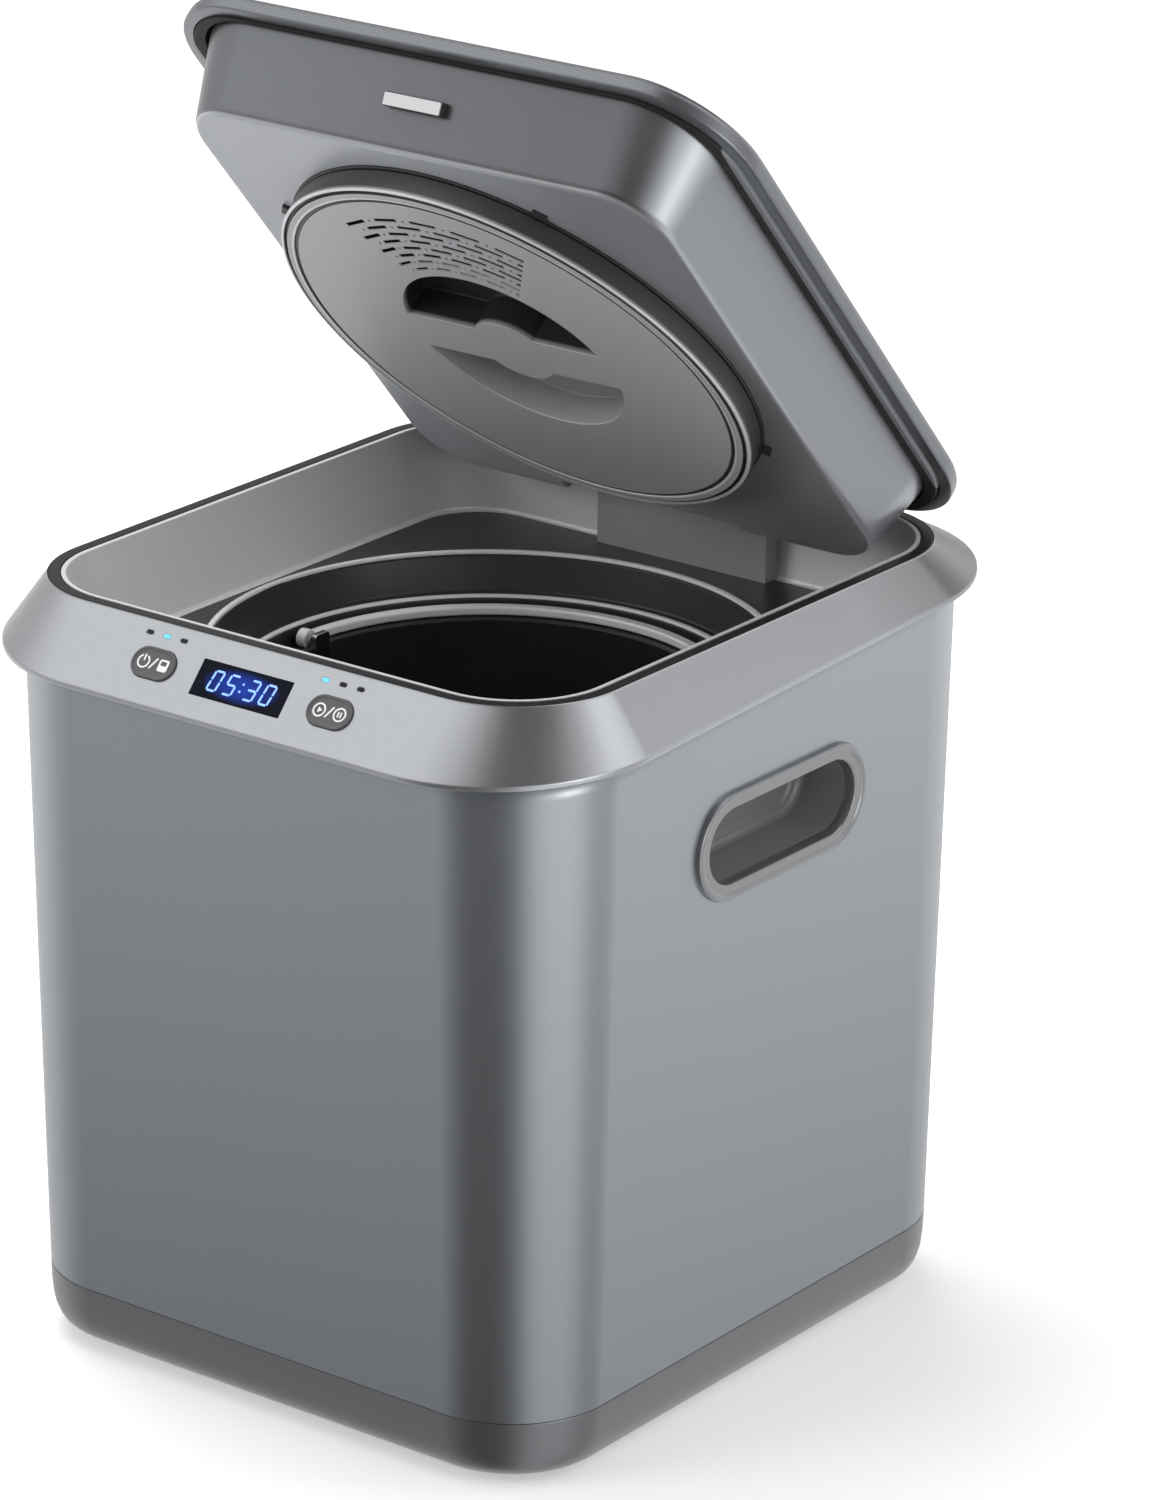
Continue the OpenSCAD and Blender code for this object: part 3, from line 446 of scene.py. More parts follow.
class Finish:
    """A procedural material, or the world, being put together."""

    def __init__(self, owner, shader="Principled BSDF", at="Object"):
        owner.use_nodes = True
        self.material, self.tree = owner, owner.node_tree
        self.shader = self.tree.nodes[shader]
        self.at = self.node("ShaderNodeTexCoord", out=at)

    def node(self, kind, settings=None, inputs=None, out=0):
        made = self.tree.nodes.new(kind)
        for key, value in (settings or {}).items():
            setattr(made, key, value)
        for key, value in (inputs or {}).items():
            self.feed(made.inputs[key], value)
        return Flow(self, made.outputs[out])

    def feed(self, socket, value):
        if isinstance(value, Flow):
            self.tree.links.new(value.socket, socket)
        elif isinstance(value, tuple) and len(value) == 3 and len(socket.default_value) == 4:
            socket.default_value = (*value, 1.0)
        else:
            socket.default_value = value

    def axis(self, letter):
        return self.node("ShaderNodeSeparateXYZ", None, {0: self.at}, letter)

    def noise(self, scale, detail=2.0, roughness=0.5, at=None):
        return self.node("ShaderNodeTexNoise", None,
                         {"Vector": at or self.at, "Scale": scale, "Detail": detail,
                          "Roughness": roughness}, "Fac")

    def cells(self, scale, at=None):
        return self.node("ShaderNodeTexVoronoi", None, {"Vector": at or self.at, "Scale": scale},
                         "Distance")

    def stretched(self, x, y, z):
        return self.node("ShaderNodeMapping", None, {"Vector": self.at, "Scale": (x, y, z)})

    def along(self, way, point):
        """Distance of the surface beyond a point, in one direction."""
        reach = self.node("ShaderNodeVectorMath", {"operation": "DOT_PRODUCT"},
                          {0: self.at, 1: tuple(way)}, "Value")
        return reach - way.dot(point)

    def blend(self, factor, first, second):
        return self.node("ShaderNodeMix", {"data_type": "RGBA"},
                         {0: factor, 6: first, 7: second}, 2)

    def bump(self, height, strength, distance=0.0002):
        return self.node("ShaderNodeBump", None,
                         {"Strength": strength, "Distance": distance, "Height": height})

    def set(self, **values):
        for key, value in values.items():
            self.feed(self.shader.inputs[key.replace("_", " ")], value)
        return self.material


def new_finish(name):
    return Finish(bpy.data.materials.new(name))


def tint(colour, factor):
    return tuple(min(1.0, c * factor) for c in colour)


def satin(name, colour, rough, metallic=0.0, grain=0.06, mottle=0.06, scuff=0.0, floor_painted_shade=0.0,
          back_painted_shade=0.0, shine=0.5):
    """Satin paint or moulding: soft clouding, fine grain, faint flake and scuffs.

    By one amount of painted shade it is that much darker at the floor than at the top; by another,
    darker at the back.
    """
    f = new_finish(name)
    cloud = f.noise(9.0, 4.0, 0.6)
    fine = f.noise(2600.0, 2.0, 0.7)
    peel = f.noise(420.0, 3.0, 0.55)
    scratch = f.noise(60.0, 6.0, 0.7, f.stretched(1.0, 1.0, 9.0))
    rubbed = ((scratch - 0.62) * 6.0).clamp() * scuff
    shade = f.blend(cloud, tint(colour, 1.0 - mottle), tint(colour, 1.0 + mottle))
    fleck = f.blend(((fine - 0.5) * 1.6 + 0.5).clamp(), tint(colour, 0.9), tint(colour, 1.1))
    shade = f.blend(0.35, shade, fleck)
    shade = f.blend(rubbed * 0.35, shade, tint(colour, 1.45))
    # Painted shade: darker towards the floor than at the top.
    if floor_painted_shade:
        shade = f.blend(floor_painted_shade - f.axis("Z") * floor_painted_shade / (RIM_Z * MM), shade, (0, 0, 0))
    # Painted shade: darker at the back, where the lid darkens the rim.
    if back_painted_shade:
        rear = ((f.axis("Y") - 50 * MM) / (80 * MM)).clamp()
        shade = f.blend(rear * back_painted_shade, shade, (0, 0, 0))
    worn = rough + (cloud - 0.5) * 0.08 + (fine - 0.5) * 0.1 + rubbed * 0.12
    f.set(Base_Color=shade, Metallic=metallic, Roughness=worn.clamp(0.05, 1),
          Normal=f.bump(fine * 0.5 + peel * 0.5, grain))
    f.shader.inputs["Specular IOR Level"].default_value = shine
    return f.material


def band(value, low, high, edge=0.2):
    """1 where a distance lies between two bounds in millimetres, else 0."""
    rise = ((value - low * MM) / (edge * MM)).clamp()
    return rise * ((high * MM - value) / (edge * MM)).clamp()


def recess_paint(name, colour):
    """Recess: pale satin paint, with painted shade darker towards the mouth and a painted
    highlight at its foot.
    """
    f = new_finish(name)
    height = f.axis("Z") - DECK_Z * MM
    cloud, fine = f.noise(9.0, 4.0, 0.6), f.noise(2600.0, 2.0, 0.7)
    # Painted shade: darker towards the mouth, with a little random clouding.
    shade = f.blend((height / (36 * MM)).clamp() * 0.3 + cloud * 0.08, colour, tint(colour, 0.45))
    # Painted highlight: a pale line at the foot of the wall.
    foot = band(height, -1.0, 1.6, 0.4)
    f.set(Base_Color=f.blend(foot, shade, (1.0, 1.0, 1.0)), Metallic=0.12 + foot * 0.1,
          Roughness=0.34 + cloud * 0.06 + (fine - 0.5) * 0.08, Normal=f.bump(fine, 0.05))
    return f.material


def pan_moulding(name, colour):
    """Lid pan: satin metallic walls, a duller underside and a fine edge between them, with painted
    light and shade: a lighter right wall, the other walls and the underside lighter on the left
    and darker towards the right, and a painted highlight along the edge.
    """
    f = new_finish(name)
    depth = f.along(LID_IN, LID_POSE @ (Vector((0, 0, PAN_Z)) * MM))
    wall = ((depth - 0.4 * MM) / (0.5 * MM)).clamp()
    cloud, fine = f.noise(9.0, 4.0, 0.6), f.noise(2600.0, 2.0, 0.7)
    across = f.axis("X")
    # Painted light: the right wall lighter than the rest.
    right = ((across - 102 * MM) / (12 * MM)).clamp()
    # Painted shade: the other walls lighter on the left and darker towards the right.
    front = f.blend((across * 2.6 + 0.32).clamp(0.0, 0.5), tint(colour, 1.15), tint(colour, 0.45))
    # Painted shade: the underside lighter on the left and darker towards the right, by the cover.
    underside_painted_shade = f.blend(((across + 10 * MM) / (140 * MM)).clamp(0.0, 0.6),
                    tint(colour, 1.7), tint(colour, 0.35))
    shade = f.blend(wall, underside_painted_shade, f.blend(right, front, tint(colour, 1.75)))
    shade = f.blend(cloud * 0.1, shade, tint(colour, 0.6))
    # Painted highlight: a fine pale line along the edge between underside and walls, fainter on
    # the right.
    shade = f.blend(band(depth, 0.5, 1.5) * (0.7 - right * 0.5), shade, (0.75, 0.76, 0.78))
    f.set(Base_Color=shade, Metallic=wall * 0.7 + 0.15,
          Roughness=0.28 + cloud * 0.06 + (fine - 0.5) * 0.08, Normal=f.bump(fine, 0.05))
    return f.material


def cover_moulding(name, colour):
    """Filter cover: satin face, with a painted highlight along fine edges and painted shade
    darkening the side wall, the upper finger recess, the lower scoop, the vents and a groove.
    """
    f = new_finish(name)
    middle = LID_POSE @ ON_AXIS @ (Vector((0, 0, COVER_Z)) * MM)
    depth, free = f.along(LID_IN, middle), f.along(LID_FREE, middle)
    across = f.axis("X")
    radius = (across * across + free * free) ** 0.5
    cloud, fine = f.noise(9.0, 4.0, 0.6), f.noise(2600.0, 2.0, 0.7)
    inner, outer = radius < 60 * MM, radius > 101.5 * MM
    # Painted shade in the upper finger recess, the lower scoop, the side wall, the vents and the
    # groove.
    grip_painted_shade = inner * (free > 0.0) * ((depth - 0.9 * MM) / (2.2 * MM)).clamp()
    scoop_painted_shade = inner * (free < 0.0) * ((depth - 1.0 * MM) / (11.0 * MM)).clamp()
    wall = outer * ((depth - 0.9 * MM) / (1.6 * MM)).clamp()
    slots = (radius > 50 * MM) * (radius < 90 * MM) * (depth > 0.4 * MM)
    # Painted highlight: fine pale lines along the recess edges, the outer edge and the face ring.
    edge_painted_highlight = (inner * band(depth, 0.15, 0.9) + (radius > 102.8 * MM) * band(depth, 0.3, 1.1)
            + (radius > 97.5 * MM) * (radius < 98.6 * MM) * band(depth, -0.5, 0.5)).clamp()
    groove_painted_shade = (radius > 95.4 * MM) * (depth > 0.3 * MM) * (radius < 102.4 * MM)
    shade = f.blend(cloud * 0.12, colour, tint(colour, 0.7))
    # All the painted shade, taken towards near black.
    dark = (grip_painted_shade * 0.96 + scoop_painted_shade * 0.35 + wall * 0.9 + slots + groove_painted_shade * 0.9).clamp()
    shade = f.blend(dark, shade, (0.012, 0.012, 0.013))
    # The painted highlight is laid over the painted shade.
    shade = f.blend(edge_painted_highlight * 0.85, shade, (0.85, 0.86, 0.88))
    f.set(Base_Color=shade, Metallic=0.12 + edge_painted_highlight * 0.2,
          Roughness=0.32 + cloud * 0.06 + (fine - 0.5) * 0.08, Normal=f.bump(fine, 0.06))
    return f.material


def worked_metal(name, colour, rough, stretch=(1.0, 40.0, 40.0), depth=0.08, stain=0.25):
    """Bare or plated metal with a drawn grain, dull patches and small pits."""
    f = new_finish(name)
    drawn = f.noise(70.0, 5.0, 0.65, f.stretched(*stretch))
    patch = f.noise(26.0, 4.0, 0.6)
    pits = (f.cells(900.0) < 0.16) * (f.noise(180.0) > 0.62)
    shade = f.blend(((patch - 0.45) * 3.0).clamp() * stain, colour, tint(colour, 0.72))
    shade = f.blend(drawn * 0.4, shade, tint(colour, 1.12))
    f.set(Base_Color=shade, Metallic=1.0,
          Roughness=(rough + (drawn - 0.5) * 0.16 + (patch - 0.5) * 0.14).clamp(0.05, 1),
          Normal=f.bump(drawn - pits * 0.5, depth))
    return f.material


def rubbery(name, colour, rough=0.72):
    """Matt elastomer with a dusty bloom and fine pimples."""
    f = new_finish(name)
    bloom = ((f.noise(34.0, 5.0, 0.7) - 0.45) * 2.4).clamp()
    pimple = f.cells(1500.0)
    f.set(Base_Color=f.blend(bloom * 0.5, colour, tint(colour, 2.1)),
          Roughness=(rough + bloom * 0.14 - pimple * 0.06).clamp(0, 1),
          Normal=f.bump(pimple, 0.12))
    return f.material


def lid_seal(name, colour, bright):
    """Lid seal: black at its root by the pan, with a rubbed grey outer lip."""
    f = new_finish(name)
    across = f.node("ShaderNodeMath", {"operation": "ABSOLUTE"}, {0: f.axis("X")})
    lip = ((across - 128 * MM) / (0.5 * MM)).clamp()
    bloom = f.noise(34.0, 5.0, 0.7)
    f.set(Base_Color=f.blend(lip, f.blend(bloom * 0.3, colour, tint(colour, 2.0)), bright),
          Roughness=0.55 - lip * 0.2 + bloom * 0.1, Metallic=lip * 0.4,
          Normal=f.bump(f.cells(1500.0), 0.08))
    return f.material


def coated(name, colour, rough):
    """Non-stick coating: dark, fine mineral specks and faint turning marks."""
    f = new_finish(name)
    specks = (f.cells(1400.0) < 0.11) * (f.noise(500.0) > 0.55)
    smear = f.noise(16.0, 4.0, 0.6)
    rings = f.noise(8.0, 2.0, 0.5, f.stretched(1.0, 1.0, 70.0))
    f.set(Base_Color=f.blend(specks * 0.7, f.blend(smear, tint(colour, 0.8), tint(colour, 1.25)),
                             (0.16, 0.16, 0.165)),
          Roughness=(rough + (smear - 0.5) * 0.12 + (rings - 0.5) * 0.08).clamp(0.05, 1),
          Normal=f.bump(f.noise(1700.0) * 0.6 + rings * 0.4, 0.09))
    return f.material


def window_glass(name, colour):
    """Dark display window: deep gloss, light spilling from the digits and the faintest dust."""
    f = new_finish(name)
    across, up = f.axis("X") / (19 * MM), (f.axis("Z") - (TOP_Z - 13.08) * MM) / (5.2 * MM)
    spill = (1.0 - across * across - up * up).clamp()
    dust = ((f.noise(900.0, 3.0) - 0.66) * 5.0).clamp()
    f.set(Base_Color=f.blend(dust * 0.2, colour, (0.3, 0.3, 0.32)),
          Emission_Color=f.blend(spill, (0, 0, 0), (0.012, 0.045, 0.36)),
          Roughness=(dust * 0.2 + 0.06), Normal=f.bump(f.noise(300.0), 0.01))
    f.shader.inputs["Emission Strength"].default_value = 1.0
    f.shader.inputs["Specular IOR Level"].default_value = 0.08
    return f.material


def glow(name, colour, strength, spread=300.0):
    """Lit plastic whose brightness varies a little."""
    f = new_finish(name)
    uneven = f.noise(spread, 2.0)
    f.set(Base_Color=f.blend(uneven, tint(colour, 0.7), colour),
          Emission_Color=f.blend(uneven, tint(colour, 0.8), colour), Roughness=uneven * 0.2 + 0.25)
    f.shader.inputs["Emission Strength"].default_value = strength
    return f.material


def circuit(name, colour):
    """Solder-masked board with tracks and pads."""
    f = new_finish(name)
    lines = f.node("ShaderNodeTexBrick", {"offset": 0.37, "squash": 0.6, "squash_frequency": 3},
                   {"Vector": f.at, "Scale": 120.0, "Mortar Size": 0.035, "Color1": (1, 1, 1),
                    "Color2": (1, 1, 1), "Mortar": (0, 0, 0)}, "Fac")
    pads = f.cells(260.0) < 0.13
    f.set(Base_Color=f.blend(pads, f.blend(lines, colour, tint(colour, 1.8)), (0.55, 0.53, 0.48)),
          Metallic=pads * 0.9, Roughness=0.42 - pads * 0.15 + f.noise(200.0) * 0.1,
          Normal=f.bump(lines + pads, 0.2))
    return f.material


FINISHES = {}


def finish(name):
    """Mix a finish the first time that a piece asks for it."""
    if name in FINISHES:
        return FINISHES[name]
    c = bpy.context.scene.composter_colours
    black = tuple(c.black)
    recipe = {
        # The shell carries painted shade towards the floor, the rim painted shade at the back.
        "shell_paint": lambda n: satin(n, tuple(c.shell), 0.31, 0.9, 0.05, 0.05, 0.5, floor_painted_shade=0.4),
        "rim_paint": lambda n: satin(n, tuple(c.rim), 0.3, 0.9, 0.05, 0.04, 0.4, back_painted_shade=0.4),
        "base_paint": lambda n: satin(n, tuple(c.base), 0.36, 0.85, 0.06, 0.06, 1.0),
        "lid_moulding": lambda n: satin(n, tuple(c.lid), 0.3, 0.85, 0.06, 0.05, 0.4),
        "pan_moulding": lambda n: pan_moulding(n, tuple(c.lid)),
        "cover_moulding": lambda n: cover_moulding(n, tuple(c.cover)),
        "recess_paint": lambda n: recess_paint(n, (0.84, 0.85, 0.865)),
        "block_paint": lambda n: satin(n, tint(tuple(c.rim), 0.8), 0.36, 0.3, 0.04, 0.04, 0.5),
        # Near white with little metal: a painted highlight on the steel beads and bail.
        "bead_metal": lambda n: satin(n, (0.97, 0.97, 0.975), 0.16, 0.15, 0.02, 0.02, 0.1),
        # The handle trim is the rim paint darkened, a painted shade.
        "trim_paint": lambda n: satin(n, tint(tuple(c.rim), 0.62), 0.3, 0.85, 0.05, 0.04, 0.4),
        "pocket_moulding": lambda n: satin(n, (0.24, 0.245, 0.25), 0.4, 0.2, 0.08, 0.08, 0.3),
        "deck_moulding": lambda n: satin(n, tint(black, 2.1), 0.3, 0.15, 0.08, 0.1, 0.3),
        "black_satin": lambda n: satin(n, black, 0.35, 0.0, 0.08, 0.12, 0.3, shine=0.15),
        "black_moulding": lambda n: satin(n, tint(black, 1.6), 0.45, 0.0, 0.1, 0.12, 0.3),
        "button_moulding": lambda n: satin(n, (0.1, 0.102, 0.107), 0.4, 0.1, 0.08, 0.08, 0.3),
        "light_moulding": lambda n: satin(n, (0.5, 0.51, 0.52), 0.42, 0.0, 0.08, 0.05, 0.4),
        "nylon": lambda n: satin(n, (0.68, 0.64, 0.54), 0.45, 0.0, 0.1, 0.08, 0.2),
        "carbon": lambda n: satin(n, (0.03, 0.03, 0.032), 0.8, 0.0, 0.5, 0.4, 0.0),
        "rubber": lambda n: rubbery(n, (0.018, 0.018, 0.019)),
        "lid_seal": lambda n: lid_seal(n, (0.012, 0.012, 0.013), tint(tuple(c.lid), 0.9)),
        "coating": lambda n: coated(n, black, 0.24),
        "steel": lambda n: worked_metal(n, (0.62, 0.62, 0.63), 0.22),
        "catch_metal": lambda n: satin(n, (0.72, 0.72, 0.74), 0.3, 0.3, 0.04, 0.03, 0.3),
        "zinc": lambda n: worked_metal(n, (0.52, 0.54, 0.56), 0.38, (12.0, 12.0, 12.0), 0.1, 0.5),
        "cast": lambda n: worked_metal(n, (0.58, 0.58, 0.57), 0.5, (9.0, 9.0, 9.0), 0.35, 0.4),
        "bronze": lambda n: worked_metal(n, (0.52, 0.33, 0.13), 0.4, (9.0, 9.0, 9.0), 0.2, 0.5),
        "board": lambda n: circuit(n, (0.015, 0.12, 0.045)),
        "window": lambda n: window_glass(n, tuple(c.window)),
        "digits": lambda n: glow(n, tuple(c.digits), 1.25),
        "lamp_on": lambda n: glow(n, (0.1, 0.46, 0.95), 1.1),
        "icon_white": lambda n: satin(n, (0.86, 0.87, 0.88), 0.5, 0.0, 0.05, 0.03),
    }[name]
    FINISHES[name] = recipe(name)
    return FINISHES[name]


# Sections shared by pieces
def eased(entries, closed=False, steps=3):
    """Sections with the corner at each entry (section, radius) rounded off."""
    def reach(a, b):
        return max(math.hypot((b[i] - a[i]) / 2, b[3] - a[3]) for i in (0, 1))

    found, count = [], len(entries)
    for i, (here, radius) in enumerate(entries):
        if radius <= 0 or (not closed and i in (0, count - 1)):
            found.append(here)
            continue
        before, after = entries[i - 1][0], entries[(i + 1) % count][0]
        a = min(0.49, radius / reach(here, before))
        b = min(0.49, radius / reach(here, after))
        for k in range(steps + 1):
            t = k / steps
            found.append(tuple(
                (1 - t) ** 2 * (h + (p - h) * a) + 2 * t * (1 - t) * h + t ** 2 * (h + (q - h) * b)
                for h, p, q in zip(here, before, after)))
    return found


def body_at(inset, h):
    """Section of the body near the tilted rim, h from its lower edge."""
    return hoop(SEAM_W + 2 * DRAFT - 2 * inset, SEAM_D + 2 * DRAFT - 2 * inset,
                SEAM_R + DRAFT - inset, RIM_Z + h, 0, RIM_TILT)


def wall_at(t, inset):
    """Section part of the way up the wall, from the seam (0) to the shoulder (1)."""
    w = 2 * DRAFT * t - 2 * inset
    return hoop(SEAM_W + w, SEAM_D + w, SEAM_R + DRAFT * t - inset,
                SEAM_Z + (RIM_Z - SHOULDER - SEAM_Z) * t, 0, RIM_TILT * t)


def tray_at(inset, z):
    return hoop(SEAM_W - 2 * inset, SEAM_D - 2 * inset, SEAM_R - inset, z)


def notch():
    """Cutting tool for the pocket at the back of the mouth."""
    return box("notch", (-44, 125.2, TOP_Z - 10.4), (44, HINGE_Y + 7, TOP_Z + 20))


def report(operator, what):
    operator.report({"INFO"}, what)
    return {"FINISHED"}


# Settings
def colour(name, what, default):
    return FloatVectorProperty(name=name, description=what, subtype="COLOR", min=0, max=1,
                               default=default)


def rounding(name, what, default, low, high):
    return FloatProperty(name=name, description=what, subtype="DISTANCE", unit="LENGTH",
                         default=default, min=low, max=high)


class ComposterColours(bpy.types.PropertyGroup):
    shell: colour("Shell", "Satin paint of the drafted shell", (0.46, 0.485, 0.515))
    rim: colour("Rim", "Satin paint of the flared rim", (0.54, 0.555, 0.575))
    base: colour("Base", "Paint of the base tray", (0.21, 0.215, 0.225))
    lid: colour("Lid", "Moulding of the lid's cap and pan", (0.27, 0.28, 0.295))
    cover: colour("Filter cover", "Moulding of the filter cover", (0.45, 0.46, 0.475))
    black: colour("Black", "Satin black of the deck and lip", (0.02, 0.021, 0.022))
    window: colour("Window", "Display window", (0.004, 0.005, 0.012))
    digits: colour("Digits", "Light of the display's digits", (0.2, 0.36, 1.0))


class ComposterSizes(bpy.types.PropertyGroup):
    corner_steps: IntProperty(name="Corner steps", description="Segments round each body corner",
                              default=16, min=6, max=32)
    seam_round: rounding("Seam rounding", "Rounding beside the seam", 0.0005, 0.0002, 0.001)
    rim_round: rounding("Rim rounding", "Rounding of the rim's lower band", 0.0006, 0.0003, 0.0009)
    grip_round: rounding("Grip rounding", "Rounding in the finger recesses", 0.004, 0.001, 0.006)


# Pieces
class COMPOSTER_OT_housing(bpy.types.Operator):
    """Skin the shell and the base tray, and mould the feet"""
    bl_idname = "composter.housing"
    bl_label = "Housing"

    def execute(self, context):
        sizes = context.scene.composter_sizes
        steps, soft = sizes.corner_steps, sizes.seam_round / MM
        shoulder = [body_at(SHOULDER * (1 - math.cos(a)), -SHOULDER * (1 - math.sin(a)))
                    for a in (math.radians(9 * k) for k in range(1, 11))]
        inner = [body_at(SHOULDER + WALL - 6.5 * math.sin(a), -WALL - 6.5 * (1 - math.cos(a)))
                 for a in (math.radians(15 * k) for k in range(0, 7))]
        sections = ([tray_at(soft, SEAM_Z), tray_at(0.3 * soft, SEAM_Z + 0.3 * soft),
                     tray_at(0, SEAM_Z + soft)] + [wall_at(t, 0) for t in (0.25, 0.5, 0.75, 1.0)]
                    + shoulder + [body_at(14, 0), body_at(14, -WALL)] + inner
                    + [tray_at(WALL, SEAM_Z + 2), tray_at(WALL, SEAM_Z)])
        shell = loft("shell_skin", sections, ring=True, steps=steps)
        for side in (1, -1):
            w = HANDLE_L + HANDLE_TRIM + 2 * FIT
            h = HANDLE_H + HANDLE_TRIM + 2 * FIT
            carve(shell, place(prism("hole", w, h, h / 2, -12, 8, steps=16), on_side(side)))
        for w, h, at in ((GRILLE_PLUG, GRILLE_PLUG, GRILLE_AT), (INLET_W, INLET_H, INLET_AT)):
            hole = prism("hole", w + 2 * FIT, h + 2 * FIT, 0.5, -10, 10)
            carve(shell, place(hole, on_rear(*at)))
        hand_over(shell, "housing", finish("shell_paint"), "shell", slot="shell_paint")

        curve = [(11.2, 3.0), (9.4, 3.2), (7.6, 3.9), (5.9, 5.0), (4.0, 6.6), (2.7, 8.6),
                 (1.7, 11.0), (1.0, 13.6), (0.45, 18.0), (0.12, 23.0), (0, 28.0),
                 (0, SEAM_Z - soft), (0.3 * soft, SEAM_Z - 0.3 * soft), (soft, SEAM_Z),
                 (WALL, SEAM_Z), (WALL, 16.0), (3.6, 10.0), (6.8, 6.6), (13, 5.5)]
        tray = loft("base_skin", [tray_at(i, z) for i, z in curve], steps=steps)
        for x in (-FOOT_X, FOOT_X):
            for y in (-FOOT_Y, FOOT_Y):
                post = loft("post", [disc(7, 4), disc(7, 61), disc(6, 62)], steps=8)
                carve(tray, place(post, shift(x, y, 0)), operation="UNION")
                hole = loft("hole", [disc(1.8, 50), disc(1.8, 64)], steps=5)
                carve(tray, place(hole, shift(x, y, 0)))
        hand_over(tray, "housing", finish("base_paint"), "base_tray", slot="base_plastic")

        foot = loft("feet_moulded", eased([
            (disc(5, 0.6), 0), (disc(7, 0.0), 0.5), (disc(10, 0), 0.6), (disc(11, 3), 0.4),
            (disc(6, 3), 0)]), steps=10)
        others = [place(copy_of(foot, "foot"), shift(x, y, 0))
                  for x, y in ((FOOT_X, -FOOT_Y), (-FOOT_X, FOOT_Y), (FOOT_X, FOOT_Y))]
        place(foot, shift(-FOOT_X, -FOOT_Y, 0))
        hand_over(join(foot, *others), "housing", finish("rubber"), "feet", slot="rubber")
        return report(self, "housing skinned")


class COMPOSTER_OT_rim(bpy.types.Operator):
    """Skin the flared rim with its panel pockets, and the dark lip round the mouth"""
    bl_idname = "composter.rim"
    bl_label = "Rim and lip"

    def execute(self, context):
        sizes = context.scene.composter_sizes
        soft = sizes.rim_round / MM
        low = lambda i, h: hoop(RIM_W - 2 * i, RIM_D - 2 * i, RIM_R - i, RIM_Z + h, 0, RIM_TILT)
        high = lambda g, z: hoop(MOUTH_W + 2 * g, MOUTH_D + 2 * g, MOUTH_R + g, z)
        sections = eased([
            (hoop(*RIM_IN, RIM_Z, 0, RIM_TILT), 0), (low(0, 0), soft), (low(0, 2), 0.5),
            (high(0.4, TOP_Z - 0.5), 0.4), (high(0.2, TOP_Z), 0.15), (high(0.2, TOP_Z - LIP_H), 0),
            (high(FIT - LIP_W, TOP_Z - LIP_H), 0), (high(FIT - LIP_W, TOP_Z - 4.3), 0),
            (high(0.8, TOP_Z - 4.3), 0), (low(3.4, WALL), 0),
            (hoop(*RIM_IN, RIM_Z + WALL, 0, RIM_TILT), 0)], closed=True)
        rim = loft("rim_skin", sections, ring=True, steps=sizes.corner_steps)
        carve(rim, notch())
        tool = prism("hole", DISPLAY_W + 2 * FIT, DISPLAY_H + 2 * FIT, 0.5, -4.5, 4.5, steps=3)
        tools = [place(tool, on_panel(0, PANEL_S))]
        for x in (-BUTTON_X, BUTTON_X):
            w = BUTTON_W + 2 * FIT
            tools.append(place(prism("hole", BUTTON_L + 2 * FIT, w, w / 2, -4, 4, steps=10),
                               on_panel(x, PANEL_S)))
            for k in (-1, 0, 1):
                tools.append(place(prism("hole", 4.2, 2.2, 1.1, -4, 4, steps=5),
                                   on_panel(x + LED_PITCH * k, LED_S)))
        carve(rim, join(*tools))
        hand_over(rim, "housing", finish("rim_paint"), "rim", slot="rim_paint")

        lip = loft("lip_skin", eased([
            (high(0, TOP_Z - LIP_H), 0), (high(0, TOP_Z), 0.7), (high(-LIP_W, TOP_Z), 1.1),
            (high(-LIP_W, TOP_Z - LIP_H), 0)], closed=True, steps=4), ring=True,
            steps=sizes.corner_steps)
        carve(lip, notch())
        hand_over(lip, "housing", finish("black_satin"), "lip", slot="black_plastic")
        return report(self, "rim skinned")


